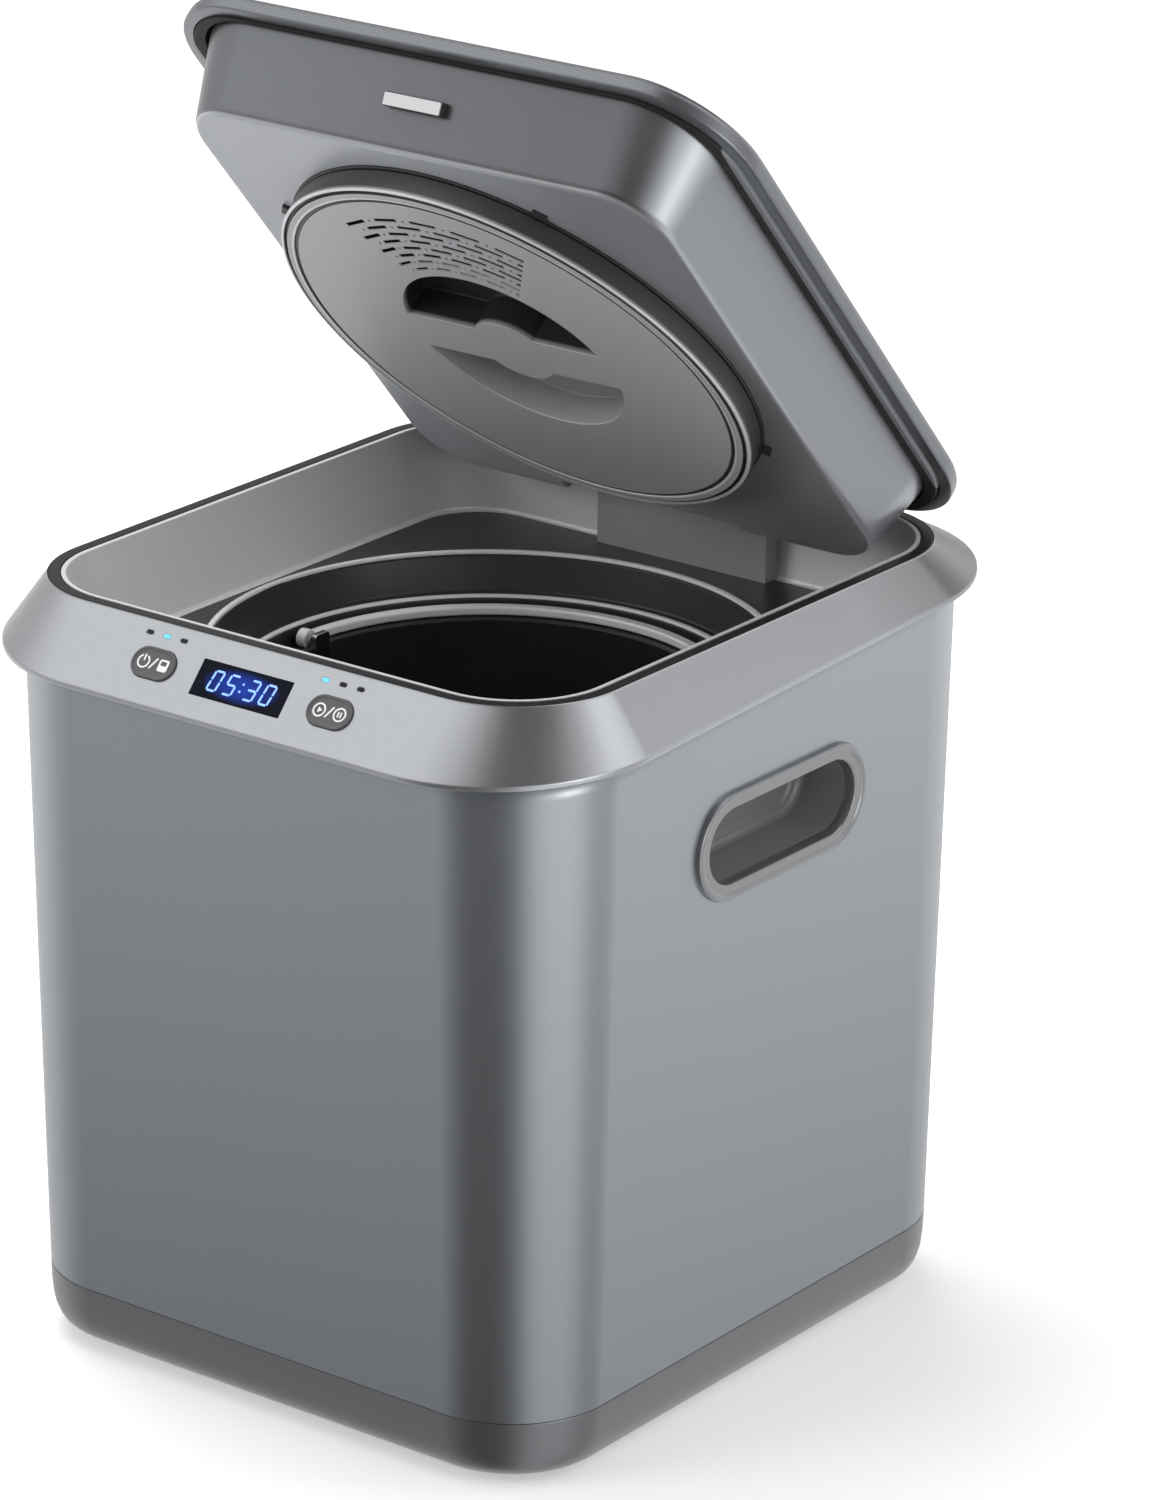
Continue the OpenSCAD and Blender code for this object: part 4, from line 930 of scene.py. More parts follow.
class COMPOSTER_OT_recess(bpy.types.Operator):
    """Skin the recess wall, the black deck with its funnel, and pale beads on the edges of its
    hole and ledge, a painted highlight
    """
    bl_idname = "composter.recess"
    bl_label = "Recess"

    def execute(self, context):
        steps = context.scene.composter_sizes.corner_steps
        top = lambda g, z: hoop(IN_W + 2 * g, IN_D + 2 * g, IN_R + g, z)
        deck = lambda g, z: hoop(DECK_W + 2 * g, DECK_D + 2 * g, DECK_R + g, z, DECK_CY)
        wall = loft("recess_wall", eased([
            (top(0, TOP_Z), 0.3), (deck(0, DECK_Z), 2.2), (deck(-1.6, DECK_Z), 0),
            (deck(-1.6, DECK_Z - 2.4), 0), (deck(1.9, DECK_Z - 2.4), 0.5), (top(1.9, TOP_Z), 0)],
            closed=True, steps=5), ring=True, steps=steps)
        carve(wall, notch())
        hand_over(wall, "housing", finish("recess_paint"), "liner", slot="grey_plastic")
        y = AXIS_Y
        floor = loft("deck_funnel", eased([
            (deck(-1.7, DECK_Z - 2.4), 0), (deck(-1.7, DECK_Z), 0.3),
            (disc(DECK_HOLE_R, DECK_Z, y), 1.6), (disc(NECK_R + 6, LEDGE_Z, y), 1.6),
            (disc(NECK_R, LEDGE_Z, y), 1.2), (disc(NECK_R, 258.3, y), 0),
            (disc(NECK_R + 2.5, 258.3, y), 0), (disc(NECK_R + 2.5, LEDGE_Z - 2.5, y), 0),
            (disc(110.5, LEDGE_Z - 2.5, y), 0), (disc(114.3, DECK_Z - 2.4, y), 0)],
            closed=True, steps=5), ring=True, steps=24)
        hand_over(floor, "housing", finish("deck_moulding"), "liner", "funnel",
                  slot="black_plastic")
        # Pale beads on the deck hole's edge and the ledge; their colour is a painted highlight.
        for name, r, z in (("deck_bead", DECK_HOLE_R + 0.2, DECK_Z),
                           ("ledge_bead", NECK_R + 0.4, LEDGE_Z)):
            bead = lathe(name, rounded([(r, z - 0.6, 0.2), (r + 2.5, z - 0.6, 0.2),
                                        (r + 2.5, z + 0.9, 0.7), (r, z + 0.9, 0.9)],
                                       steps=5, closed=True), steps=128)
            place(bead, ON_AXIS)
            hand_over(bead, "housing", finish("bead_metal"), slot="steel")
        return report(self, "recess skinned")


class COMPOSTER_OT_handles(bpy.types.Operator):
    """Mould a trim ring and a finger pocket for each side handle"""
    bl_idname = "composter.handles"
    bl_label = "Side handles"

    def execute(self, context):
        def oval(t, z):
            h = HANDLE_H + 15 - 2 * t
            return hoop(HANDLE_L + 17 - 2 * t * 17 / 15, h, h / 2, z)

        def back(i, z):
            h = HANDLE_H + HANDLE_TRIM - 2 * i
            return hoop(HANDLE_L + HANDLE_TRIM - 2 * i, h, h / 2, z)

        for side, word in ((1, "right"), (-1, "left")):
            trim = loft(f"handle_trim_{word}", eased([
                (back(0, -0.2), 0), (oval(0.05, -0.1), 0), (oval(0.0, 0.5), 0),
                (oval(0.5, 2.2), 0.9), (oval(2.7, 2.2), 0.8), (oval(3.3, 1.5), 0.4),
                (oval(6.7, 1.5), 0.7), (oval(7.5, -1.0), 0), (oval(7.5, -3.0), 0),
                (back(0, -3.0), 0)], closed=True, steps=4), ring=True, steps=20)
            place(trim, on_side(side))
            # The trim's darker tone is painted shade on the rim paint.
            hand_over(trim, "housing", finish("trim_paint"), f"handle_{word}", slot="rim_paint")
            pocket = loft(f"handle_pocket_{word}", eased([
                (back(3, -HANDLE_DEPTH), 0), (back(0, -HANDLE_DEPTH), 2.0), (back(0, -3.05), 0),
                (oval(7.55, -3.05), 0), (oval(7.55, -23.2), 1.5), (oval(9.5, -25.0), 1.0),
                (oval(11.5, -25.0), 0.5), (oval(12.4, -26), 0.5), (oval(14, -26), 0)]), steps=20)
            place(pocket, on_side(side))
            hand_over(pocket, "housing", finish("pocket_moulding"), f"handle_{word}",
                      slot="black_plastic")
        return report(self, "handles moulded")


class COMPOSTER_OT_panel(bpy.types.Operator):
    """Fit the display window with its digits, the two keys with their icons, and the lamps"""
    bl_idname = "composter.panel"
    bl_label = "Panel"

    def execute(self, context):
        window = prism("window_glass", DISPLAY_W, DISPLAY_H, 0.4, -2.4, 0, 0, 0.25, steps=3)
        place(window, on_panel(0, PANEL_S))
        hand_over(window, "housing", finish("window"), "display_window", slot="lens", angle=20)
        self.digits()
        for x, word in ((-BUTTON_X, "left"), (BUTTON_X, "right")):
            self.key(x, word)
            self.lamps(x, word)
        return report(self, "panel fitted")

    def digits(self):
        """Digits 05:30 from one pointed bar that is copied to each lit place."""
        bar = begin("digit_bar")
        bpy.ops.mesh.primitive_circle_add(vertices=6, radius=1, fill_type="NGON",
                                          location=(0, 0, 0))
        bpy.ops.transform.resize(value=(0.5 * MM, 1.95 * MM, 1))
        pick("VERT", lambda v: abs(v.co.y) < 1.5 * MM)
        bpy.ops.transform.resize(value=(1.0, 1.62, 1), center_override=(0, 0, 0))
        bpy.ops.mesh.select_all(action="SELECT")
        extrude(0, 0.08)
        close(bar)
        lit = {"0": "abcdef", "5": "acdfg", "3": "abcdg"}
        spots = {"a": (0, 4.1, 90), "b": (2.1, 2.05, 0), "c": (2.1, -2.05, 0), "d": (0, -4.1, 90),
                 "e": (-2.1, -2.05, 0), "f": (-2.1, 2.05, 0), "g": (0, 0, 90)}
        slant = 0.14
        bars = []
        for x, digit in ((-12.6, "0"), (-4.9, "5"), (5.3, "3"), (13.0, "0")):
            for name in lit[digit]:
                u, v, angle = spots[name]
                lean = -8.0 if angle == 0 else 0.0
                local = shift(x + u + v * slant, v, 0.01) @ spin_z(angle + lean)
                bars.append(place(copy_of(bar, "bar"), local))
        for v in (-1.6, 1.6):
            dot = prism("dot", 0.9, 0.9, 0.2, 0.01, 0.09, steps=2)
            bars.append(place(dot, shift(0.2 + v * slant, v, 0)))
        bpy.data.objects.remove(bar, do_unlink=True)
        digits = join(*bars)
        digits.name = "display_digits"
        place(digits, on_panel(0, PANEL_S))
        hand_over(digits, "housing", finish("digits"), slot="lens")

    def key(self, x, word):
        """One key: an oval cap with a raised edge and a dished top, and its icons."""
        def oval(i, z):
            return hoop(BUTTON_L - 2 * i, BUTTON_W - 2 * i, BUTTON_W / 2 - i, z)

        cap = loft(f"key_{word}", eased([
            (oval(1, -4.6), 0), (oval(-1, -4.6), 0.2), (oval(-1, -3.4), 0), (oval(0, -3.4), 0),
            (oval(0, 1.0), 0.5), (oval(0.9, 1.0), 0.4), (oval(1.5, 0.55), 0.5),
            (oval(5.2, 0.45), 0)]), steps=12)
        place(cap, on_panel(x, PANEL_S))
        hand_over(cap, f"{word}_button", finish("button_moulding"), f"button_{word}",
                  slot="black_plastic")
        marks = [self.arc(2.6, 0.7, 0 if word == "right" else 2.4, -4.9),
                 self.stroke(0.75, 5.6, 0.0, 0.0, -28)]
        if word == "left":
            page = prism("page", 4.6, 5.0, 0.8, 0, 0.11, steps=3)
            carve(page, box("fold", (-1.5, -0.1, -1), (1.3, 1.7, 1)))
            marks += [self.stroke(0.75, 2.8, -4.9, 1.7, 0), place(page, shift(4.9, 0, 0))]
        else:
            play = begin("play")
            bpy.ops.mesh.primitive_circle_add(vertices=3, radius=1.35 * MM, fill_type="NGON",
                                              location=(0, 0, 0), rotation=(0, 0, -math.pi / 2))
            extrude(0, 0.1)
            close(play)
            marks += [place(play, shift(-4.8, 0, 0)), self.arc(2.6, 0.7, 0, 4.9),
                      self.stroke(0.7, 2.4, 4.25, 0, 0), self.stroke(0.7, 2.4, 5.55, 0, 0)]
        icon = join(*marks)
        icon.name = f"key_icons_{word}"
        place(icon, on_panel(x, PANEL_S) @ shift(0, 0, 0.44))
        hand_over(icon, f"{word}_button", finish("icon_white"))

    def arc(self, radius, width, gap, x):
        """Flat ring with a gap of that width at its top."""
        ring = lathe("arc", [(radius - width / 2, 0), (radius + width / 2, 0),
                             (radius + width / 2, 0.11), (radius - width / 2, 0.11)], steps=28)
        if gap:
            carve(ring, box("gap", (-gap / 2, 0, -1), (gap / 2, 2 * radius, 1)))
        return place(ring, shift(x, 0, 0))

    def stroke(self, width, length, x, y, angle):
        """Short flat stroke with round ends."""
        bar = prism("stroke", width, length, width / 2, 0, 0.11, steps=3)
        return place(bar, shift(x, y, 0) @ spin_z(angle))

    def lamps(self, x, word):
        """Three lens caps in a row, one of them lit."""
        lit = 0 if word == "left" else -1
        dark = []
        for k in (-1, 0, 1):
            lens = prism("lens", 3.4, 1.7, 0.85, -0.6, 0.12, 0, 0.1, steps=6)
            place(lens, on_panel(x + LED_PITCH * k, LED_S))
            if k == lit:
                lens.name = f"lamp_lit_{word}"
                hand_over(lens, "housing", finish("lamp_on"), slot="lens")
            else:
                dark.append(lens)
        caps = join(*dark)
        caps.name = f"lamp_dark_{word}"
        hand_over(caps, "housing", finish("black_satin"), slot="lens")


class COMPOSTER_OT_hinge(bpy.types.Operator):
    """Mould the hinge block on the housing and the arm on the lid"""
    bl_idname = "composter.hinge"
    bl_label = "Hinge"

    def execute(self, context):
        block = profile_bar("hinge_block_skin", [
            (124.4, DECK_Z + 0.1), (132.4, DECK_Z + 0.1), (135.5, 312.3), (147.5, 312.3),
            (147.5, 318.9), (134.5, 318.9), (124.4, 312.3)], HINGE_W / 2)
        at_pin = shift(0, HINGE_Y, HINGE_Z) @ TO_X
        for x in (-EAR_X, EAR_X):
            ear = box("ear", (x - 5.96, 134.6, 316.4), (x + 5.96, 147.4, HINGE_Z))
            barrel = loft("barrel", [disc(6.47, -5.98), disc(6.47, 5.98)], steps=12)
            place(barrel, shift(x, HINGE_Y, HINGE_Z) @ TO_X)
            carve(block, ear, barrel, operation="UNION")
        hole = loft("hole", [disc(2.5, -50), disc(2.5, 50)], steps=10)
        carve(block, place(hole, at_pin))
        soften_edges(block, 0.45, 40, 2)
        hand_over(block, "housing", finish("block_paint"), "hinge_block", slot="grey_plastic")

        arm = prism("hinge_arm_skin", KNUCKLE_W, HINGE_Y - BAY_Y + 9, 0, -4, 4)
        place(arm, shift(0, (HINGE_Y + BAY_Y - 9) / 2, HINGE_Z))
        barrel = loft("barrel", [disc(5, -KNUCKLE_W / 2), disc(5, KNUCKLE_W / 2)], steps=12)
        carve(arm, place(barrel, at_pin), operation="UNION")
        hole = loft("hole", [disc(2.55, -50), disc(2.55, 50)], steps=10)
        carve(arm, place(hole, at_pin))
        soften_edges(arm, 0.4, 40, 2)
        place(arm, LID_POSE)
        hand_over(arm, "lid", finish("black_moulding"), "hinge_arm", slot="black_plastic")
        return report(self, "hinge moulded")


class COMPOSTER_OT_lid(bpy.types.Operator):
    """Skin the lid's cap and pan, and fit its gasket and catch plate"""
    bl_idname = "composter.lid"
    bl_label = "Lid"

    def notch(self):
        return box("notch", (-43.7, HINGE_Y - 8, LID_Z - 20), (43.7, HINGE_Y + 22, LID_Z + 40))

    def bay(self, g):
        return box("bay", (-45 - g, BAY_Y - g, PAN_Z - 5), (45 + g, BAY_Y + 40 + g, PAN_Z + 55))

    def pan_solid(self, name, i, b, u, steps):
        low = lambda k, z: hoop(PAN_LOW_W - 2 * k, PAN_LOW_D - 2 * k, PAN_LOW_R - k, z, PAN_LOW_CY)
        return loft(name, eased([
            (hoop(PAN_W - 2 * i, PAN_D - 2 * i, PAN_R - i, LID_Z + u), 0),
            (low(i, PAN_Z + 2 + b), 1.0), (low(i + 2, PAN_Z + b), 1.0),
            (low(i + 14, PAN_Z + b), 0)], steps=3), steps=steps)

    def execute(self, context):
        steps = context.scene.composter_sizes.corner_steps
        cap = lambda i, z: hoop(LID_W - 2 * i, LID_D - 2 * i, LID_R - i, z)
        roof = lambda i, z: hoop(LID_W - 2 * i - 60, LID_D - 2 * i - 60, LID_R - i - 12, z)
        lid = loft("lid_cap_skin", eased([
            (roof(0, 333.9), 0), (cap(2, 331.9), 2.4), (cap(0, 329.9), 1.6), (cap(0, LID_Z), 0.9),
            (cap(5.0, LID_Z - 0.6), 0.3), (cap(5.0, 328.0), 0), (cap(6.5, 329.4), 0),
            (roof(2.5, 331.4), 0)], steps=4), steps=steps)
        carve(lid, self.notch())
        place(lid, LID_POSE)
        hand_over(lid, "lid", finish("lid_moulding"), "lid_cap", slot="lid_plastic")

        rim = lambda w, d, r, z: hoop(PAN_W + w, PAN_D + d, PAN_R + r, z)
        seal = loft("lid_gasket_skin", eased([
            (rim(0.4, 0.4, 0.2, 325.5), 0), (rim(0.4, 0.4, 0.2, 322.9), 0.3),
            (rim(6, 2, 1.5, 322.6), 1.0), (rim(13, 5, 4, 322.6), 0.8),
            (rim(15.5, 3.5, 4.8, 325.5), 0)],
            closed=True, steps=3), ring=True, steps=steps)
        carve(seal, self.notch())
        place(seal, LID_POSE)
        hand_over(seal, "lid", finish("lid_seal"), "lid_gasket", slot="rubber")

        pan = self.pan_solid("lid_pan_skin", 0, 0, 3, steps)
        core = self.pan_solid("core", WALL, WALL, 4, steps)
        carve(core, self.bay(WALL))
        carve(pan, core)
        carve(pan, self.bay(0))
        hole = [disc(COLLAR_R + FIT, PAN_Z - 1), disc(COLLAR_R + FIT, PAN_Z + 19)]
        carve(pan, place(loft("hole", hole, steps=31), ON_AXIS))
        carve(pan, box("slot", (-KNUCKLE_W / 2 - 0.5, BAY_Y - 12, HINGE_Z - 4.6),
                       (KNUCKLE_W / 2 + 0.5, BAY_Y + 28, HINGE_Z + 25)))
        place(pan, LID_POSE)
        hand_over(pan, "lid", finish("pan_moulding"), "lid_pan", slot="lid_plastic")

        lean = math.atan((PAN_D - PAN_LOW_D + 2 * PAN_LOW_CY) / 2 / 31)
        y = -PAN_LOW_D / 2 + PAN_LOW_CY - 14.5 * math.tan(lean)
        at = LID_POSE @ shift(0, y, PAN_Z + 17.5) @ turn_x(lean) @ turn_x(math.radians(90))
        bezel = prism("catch_bezel", 28, 5.6, 0.4, 0.2, 3.3, 0, 0.25, steps=2)
        place(bezel, at)
        hand_over(bezel, "lid", finish("black_moulding"), "catch_plate", slot="black_plastic")
        face = prism("catch_face", 27.4, 5.0, 0.4, 3.2, 3.8, 0, 0.2, steps=2)
        place(face, at)
        hand_over(face, "lid", finish("catch_metal"), "catch_plate", slot="steel")
        return report(self, "lid skinned")


class COMPOSTER_OT_filter_cover(bpy.types.Operator):
    """Turn the collar and the filter cover, with its vents, finger recesses and gasket"""
    bl_idname = "composter.filter_cover"
    bl_label = "Filter cover"

    def execute(self, context):
        pose = LID_POSE @ ON_AXIS
        collar = lathe("filter_collar_skin", rounded([
            (99.6, PAN_Z - 1, 0.3), (COLLAR_R, PAN_Z - 1, 0.6), (COLLAR_R, PAN_Z + 2.6, 0),
            (109.7, PAN_Z + 2.6, 0.3), (109.7, PAN_Z + 4.6, 0.3), (COLLAR_R, PAN_Z + 4.6, 0),
            (COLLAR_R, PAN_Z + 10, 0.3), (99.6, PAN_Z + 10, 0.3), (99.6, PAN_Z + 6.9, 0),
            (102.3, PAN_Z + 6.9, 0), (102.3, PAN_Z + 3.6, 0), (99.6, PAN_Z + 3.6, 0)],
            closed=True), steps=128)
        for k in range(4):
            slot = box("slot", (SPIGOT_R - 3, -14, PAN_Z - 2), (SPIGOT_R + 3.2, 14, PAN_Z + 4))
            carve(collar, place(slot, spin_z(30 + 90 * k)))
        place(collar, pose)
        hand_over(collar, "lid", finish("black_moulding"), "filter_collar", slot="black_plastic")
        tabs = [place(prism("collar_tabs", 6.4, 3.6, 0.3, PAN_Z - 1.5, PAN_Z + 0.2, 0.3, steps=2),
                      spin_z(30 + 90 * k) @ shift(106.8, 0, 0) @ spin_z(90)) for k in range(4)]
        tabs = place(join(*tabs), pose)
        hand_over(tabs, "lid", finish("black_moulding"), slot="black_plastic")

        z = COVER_Z
        cover = lathe("filter_cover_skin", rounded([
            (0, z, 0), (95.7, z, 0.3), (96.2, z + 0.8, 0.2), (97.3, z + 0.8, 0.2), (97.8, z, 0.35),
            (100.9, z, 0.4), (101.3, z + 1.7, 0.3), (102.2, z + 1.7, 0.3), (102.6, z + 0.5, 0.35),
            (COVER_R, z + 0.5, 0.6), (COVER_R, z + 9.9, 0.5), (COVER_R - 0.6, z + 9.9, 0),
            (COVER_R - 0.6, z + 8.3, 0), (COVER_R - 2.6, z + 8.3, 0), (COVER_R - 2.6, z + 9.9, 0),
            (SPIGOT_R, z + 9.9, 0.2), (SPIGOT_R, z + 19.3, 0.3),
            (96.3, z + 19.3, 0.3), (96.3, z + 3, 1), (GRIP_R + 2, z + 3, 1),
            (GRIP_R + 2, z + 16, 1), (0, z + 16, 0)], steps=3), steps=128, closed=False)
        carve(cover, self.crescents(context.scene.composter_sizes.grip_round / MM), self.vents())
        for k in range(4):
            lug = prism("lug", 2.6, 18, 0.3, PAN_Z + 4, PAN_Z + 6.5, steps=2)
            place(lug, spin_z(52 + 90 * k) @ shift(SPIGOT_R + 0.3, 0, 0))
            carve(cover, lug, operation="UNION")
        place(cover, pose)
        hand_over(cover, "cover", finish("cover_moulding"), "filter_cover", slot="cover_plastic",
                  angle=30)

        seal = lathe("cover_seal", rounded([
            (COVER_R - 2.5, z + 8.35, 0.1), (COVER_R - 0.7, z + 8.35, 0.1),
            (COVER_R - 0.9, z + 10.2, 0.5), (COVER_R - 2.3, z + 10.2, 0.5)], closed=True),
            steps=128)
        place(seal, pose)
        hand_over(seal, "cover", finish("rubber"), "cover_gasket", slot="rubber")
        return report(self, "filter cover turned")

    def crescents(self, soft):
        """Cutting tool for the two finger recesses, their inner ends rounded."""
        z = COVER_Z
        tool = loft("grips", [disc(GRIP_R, z - 1), disc(GRIP_R, z + GRIP_H)], steps=23)
        middle = 1.7 * GRIP_BAR
        bulge = loft("bulge", [disc(middle, z - 2), disc(middle, z + 20)], steps=15)
        carve(tool, box("bar", (-60, -GRIP_BAR, z - 2), (60, GRIP_BAR, z + 20)), bulge)
        bpy.context.view_layer.objects.active = tool
        bpy.ops.object.mode_set(mode="EDIT")
        pick("EDGE", lambda e: all(abs(v.co.x) > 40 * MM for v in e.verts)
             and abs(e.verts[0].co.z - e.verts[1].co.z) > 5 * MM and len(e.link_faces) == 2
             and e.calc_face_angle(0) > 0.7)
        bevel(1.0, 4, clamp=True)
        pick("EDGE", lambda e: all(abs(v.co.z - (z + GRIP_H) * MM) < 1e-6 for v in e.verts)
             and e.calc_face_angle(0) > 0.7)
        bevel(soft, 6, clamp=True)
        return close(tool)

    def vents(self):
        """Cutting tool for the vents: rows of dashes round the axis, a dot between each two."""
        dash = prism("dash", 1, 2.0, 0, COVER_Z - 1, COVER_Z + 5)
        dot = prism("dot", 1.3, 1.2, 0.5, COVER_Z - 1, COVER_Z + 5, steps=3)
        to_dot = (VENT_STEP + VENT_DASH) / 2
        holes = []

        def add(tool, angle, r, length=1.0):
            at = spin_z(angle) @ shift(0, -r, 0) @ Matrix.Diagonal((length, 1, 1, 1))
            holes.append(place(copy_of(tool, "vent"), at))

        for row in range(VENT_ROWS):
            r = VENT_R - VENT_PITCH * row
            first = VENT_FROM + VENT_STEP / 2 * (row % 2)
            leading = [first + to_dot - VENT_STEP] * (row % 2)
            while first < VENT_TO - 1.5:
                last = min(first + VENT_DASH, VENT_TO)
                add(dash, (first + last) / 2, r, r * math.radians(last - first))
                for angle in [first + to_dot] * (first + to_dot < VENT_TO) + leading:
                    add(dot, angle, r)
                leading = []
                first += VENT_STEP
        for tool in (dash, dot):
            bpy.data.objects.remove(tool, do_unlink=True)
        return join(*holes)


class COMPOSTER_OT_bucket(bpy.types.Operator):
    """Turn the bucket, and form its ears, breaker bars and bail"""
    bl_idname = "composter.bucket"
    bl_label = "Bucket"

    def execute(self, context):
        z = BUCKET_Z
        bucket = lathe("bucket_skin", rounded([
            (6.05, z + 14, 0.2), (6.05, z + 20.9, 0.4), (9, z + 20.9, 0.6), (9, z + 17, 0.8),
            (21.5, z + 17, 1.5), (21.5, z + 3, 2.0), (BUCKET_R - 2, z + 3, 8.0),
            (BUCKET_R - 2, z + BUCKET_H, 0.8), (BUCKET_R + 6.5, z + BUCKET_H, 0.8),
            (BUCKET_R + 6.5, z + 167.2, 0.8), (BUCKET_R, z + 167.2, 0.6), (BUCKET_R, z, 10.0),
            (19, z, 0.8), (19, z + 14, 0.8)], steps=4, closed=True), steps=128)
        for x in (-95.5, 95.5):
            carve(bucket, box("notch", (x - 4, -6.5, FLANGE_Z - 6), (x + 4, 6.5, FLANGE_Z + 6)))
        place(bucket, ON_AXIS)
        hand_over(bucket, "bucket", finish("coating"), "bucket", slot="coating")

        parts = []
        for side in (1, -1):
            plate = prism("ear", 14, 9, 1.5, 0, 3, 0.4, 0.4, steps=5, edge_steps=2)
            place(plate, shift(85.9, 0, BAIL_Z - 3) @ TO_X)
            pin = loft("pin", eased([(disc(2, 87), 0), (disc(2, 98.1), 0.5), (disc(1, 98.1), 0)]),
                       steps=5)
            place(pin, shift(0, 0, BAIL_Z) @ TO_X)
            ear = carve(plate, pin, operation="UNION")
            parts.append(place(ear, ON_AXIS @ Matrix.Rotation(0 if side > 0 else math.pi, 4, "Z")))
        ears = join(*parts)
        ears.name = "bail_ears_skin"
        hand_over(ears, "bucket", finish("steel"), "bail_ears", slot="steel")

        bars = []
        for a in (35, 215):
            bar = prism("breaker_bars_skin", BAR_L, 6, 0.5, z + 30, z + 39, 0.8, 0.8, steps=3)
            bars.append(place(bar, ON_AXIS @ spin_z(a) @ shift(46 + BAR_L / 2, 0, 0)))
        hand_over(join(*bars), "bucket", finish("steel"), "breaker_bars", slot="steel")
        self.bail()
        return report(self, "bucket turned")

    def bail(self):
        """Flat band spun through half a turn, with an eye at each end."""
        band = begin("bail_skin")
        sheet(5, 4)
        bevel(1.2, 4, "VERTICES")
        bpy.ops.transform.rotate(value=math.radians(90), orient_axis="X",
                                 center_override=(0, 0, 0))
        bpy.ops.transform.translate(value=((BAIL_R + 2.5) * MM, 0, BAIL_Z * MM))
        bpy.ops.mesh.spin(steps=64, angle=math.pi, center=(0, 0, 0), axis=(0, 0, 1))
        pick("EDGE", lambda e: all(abs(v.co.y) < 1e-6 and v.co.x < 0 for v in e.verts)
             and len(e.link_faces) < 2)
        if any(e.select for e in bmesh.from_edit_mesh(band.data).edges):
            bpy.ops.mesh.edge_face_add()
        close(band)
        if band.dimensions.y < 0.05 or min(v.co.y for v in band.data.vertices) < -1e-3:
            place(band, Matrix.Rotation(math.pi, 4, "Z"))
        for side in (-1, 1):
            eye = loft("eye", eased([
                (disc(2.1, -2.2), 0), (disc(4, -2.2), 0.5), (disc(4, 2.2), 0.5),
                (disc(2.1, 2.2), 0)]), steps=7)
            place(eye, shift(side * (BAIL_R + 2.4), 0, BAIL_Z) @ TO_X)
            carve(band, eye, operation="UNION")
        hole = loft("hole", [disc(2.05, -120), disc(2.05, 120)], steps=7)
        carve(band, place(hole, shift(0, 0, BAIL_Z) @ TO_X))
        place(band, ON_AXIS)
        # The bail's near-white colour is a painted highlight.
        hand_over(band, "bail", finish("bead_metal"), "bail", slot="steel")


class COMPOSTER_OT_agitator(bpy.types.Operator):
    """Cast the agitator: a domed hub with three pitched arms"""
    bl_idname = "composter.agitator"
    bl_label = "Agitator"

    def execute(self, context):
        z = BUCKET_Z + 3
        hub = lathe("agitator_skin", rounded([
            (22.5, z + 1.5, 0.5), (27, z + 1.5, 1.0), (27, z + 21.4, 4.0), (13, z + 38.5, 3.0),
            (12, z + 39.4, 1.0), (6, z + 39.4, 0.3), (6, z + 20, 0), (22.5, z + 20, 1.0)],
            closed=True), steps=72)
        for k in range(3):
            arm = prism("arm", BLADE_L, 6, 2.9, -6.5, 6.5, 1.2, 1.2, steps=5)
            place(arm, spin_z(120 * k) @ shift(25 + BLADE_L / 2, 0, z + 11)
                  @ turn_x(math.radians(28)))
            carve(hub, arm, operation="UNION")
        core = loft("core", [disc(22.5, z + 1), disc(22.5, z + 20)], steps=15)
        carve(hub, core)
        place(hub, ON_AXIS)
        hand_over(hub, "agitator", finish("cast"), "agitator", slot="cast")
        return report(self, "agitator cast")


class COMPOSTER_OT_rear(bpy.types.Operator):
    """Mould the vent grille and the power inlet on the back"""
    bl_idname = "composter.rear"
    bl_label = "Rear fittings"

    def execute(self, context):
        grille = prism("grille_skin", 74, 74, 6, 0.1, 1.6, 0, 0.6, steps=8)
        carve(grille, prism("plug", GRILLE_PLUG, GRILLE_PLUG, 1, -2.4, 0.5, steps=3),
              operation="UNION")
        slot = prism("slot", 54, 3.2, 1.6, -8, 8, steps=6)
        slots = []
        for k in range(-4, 5):
            slots.append(place(copy_of(slot, "slot"), shift(0, 6.4 * k, 0)))
        bpy.data.objects.remove(slot, do_unlink=True)
        carve(grille, join(*slots))
        place(grille, on_rear(*GRILLE_AT))
        hand_over(grille, "housing", finish("black_moulding"), "vent_grille", slot="black_plastic")

        inlet = prism("inlet_skin", 34, 26, 3, 0.1, 1.7, 0, 0.5, steps=6)
        carve(inlet, prism("barrel", INLET_W, INLET_H, 0.8, -20, 0.6, steps=3), operation="UNION")
        carve(inlet, prism("socket", 22, 14, 2, -17, 13, steps=5))
        pins = [place(prism("pin", 2, 4, 0.3, -17.4, -4.5, 0, 0.3, steps=2), shift(x, y, 0))
                for x, y in ((-5, 0), (5, 0), (0, 3.5))]
        place(inlet, on_rear(*INLET_AT))
        hand_over(inlet, "housing", finish("black_moulding"), "inlet", slot="black_plastic")
        prongs = join(*pins)
        prongs.name = "inlet_pins"
        place(prongs, on_rear(*INLET_AT))
        hand_over(prongs, "housing", finish("steel"), slot="steel")
        return report(self, "rear fitted")


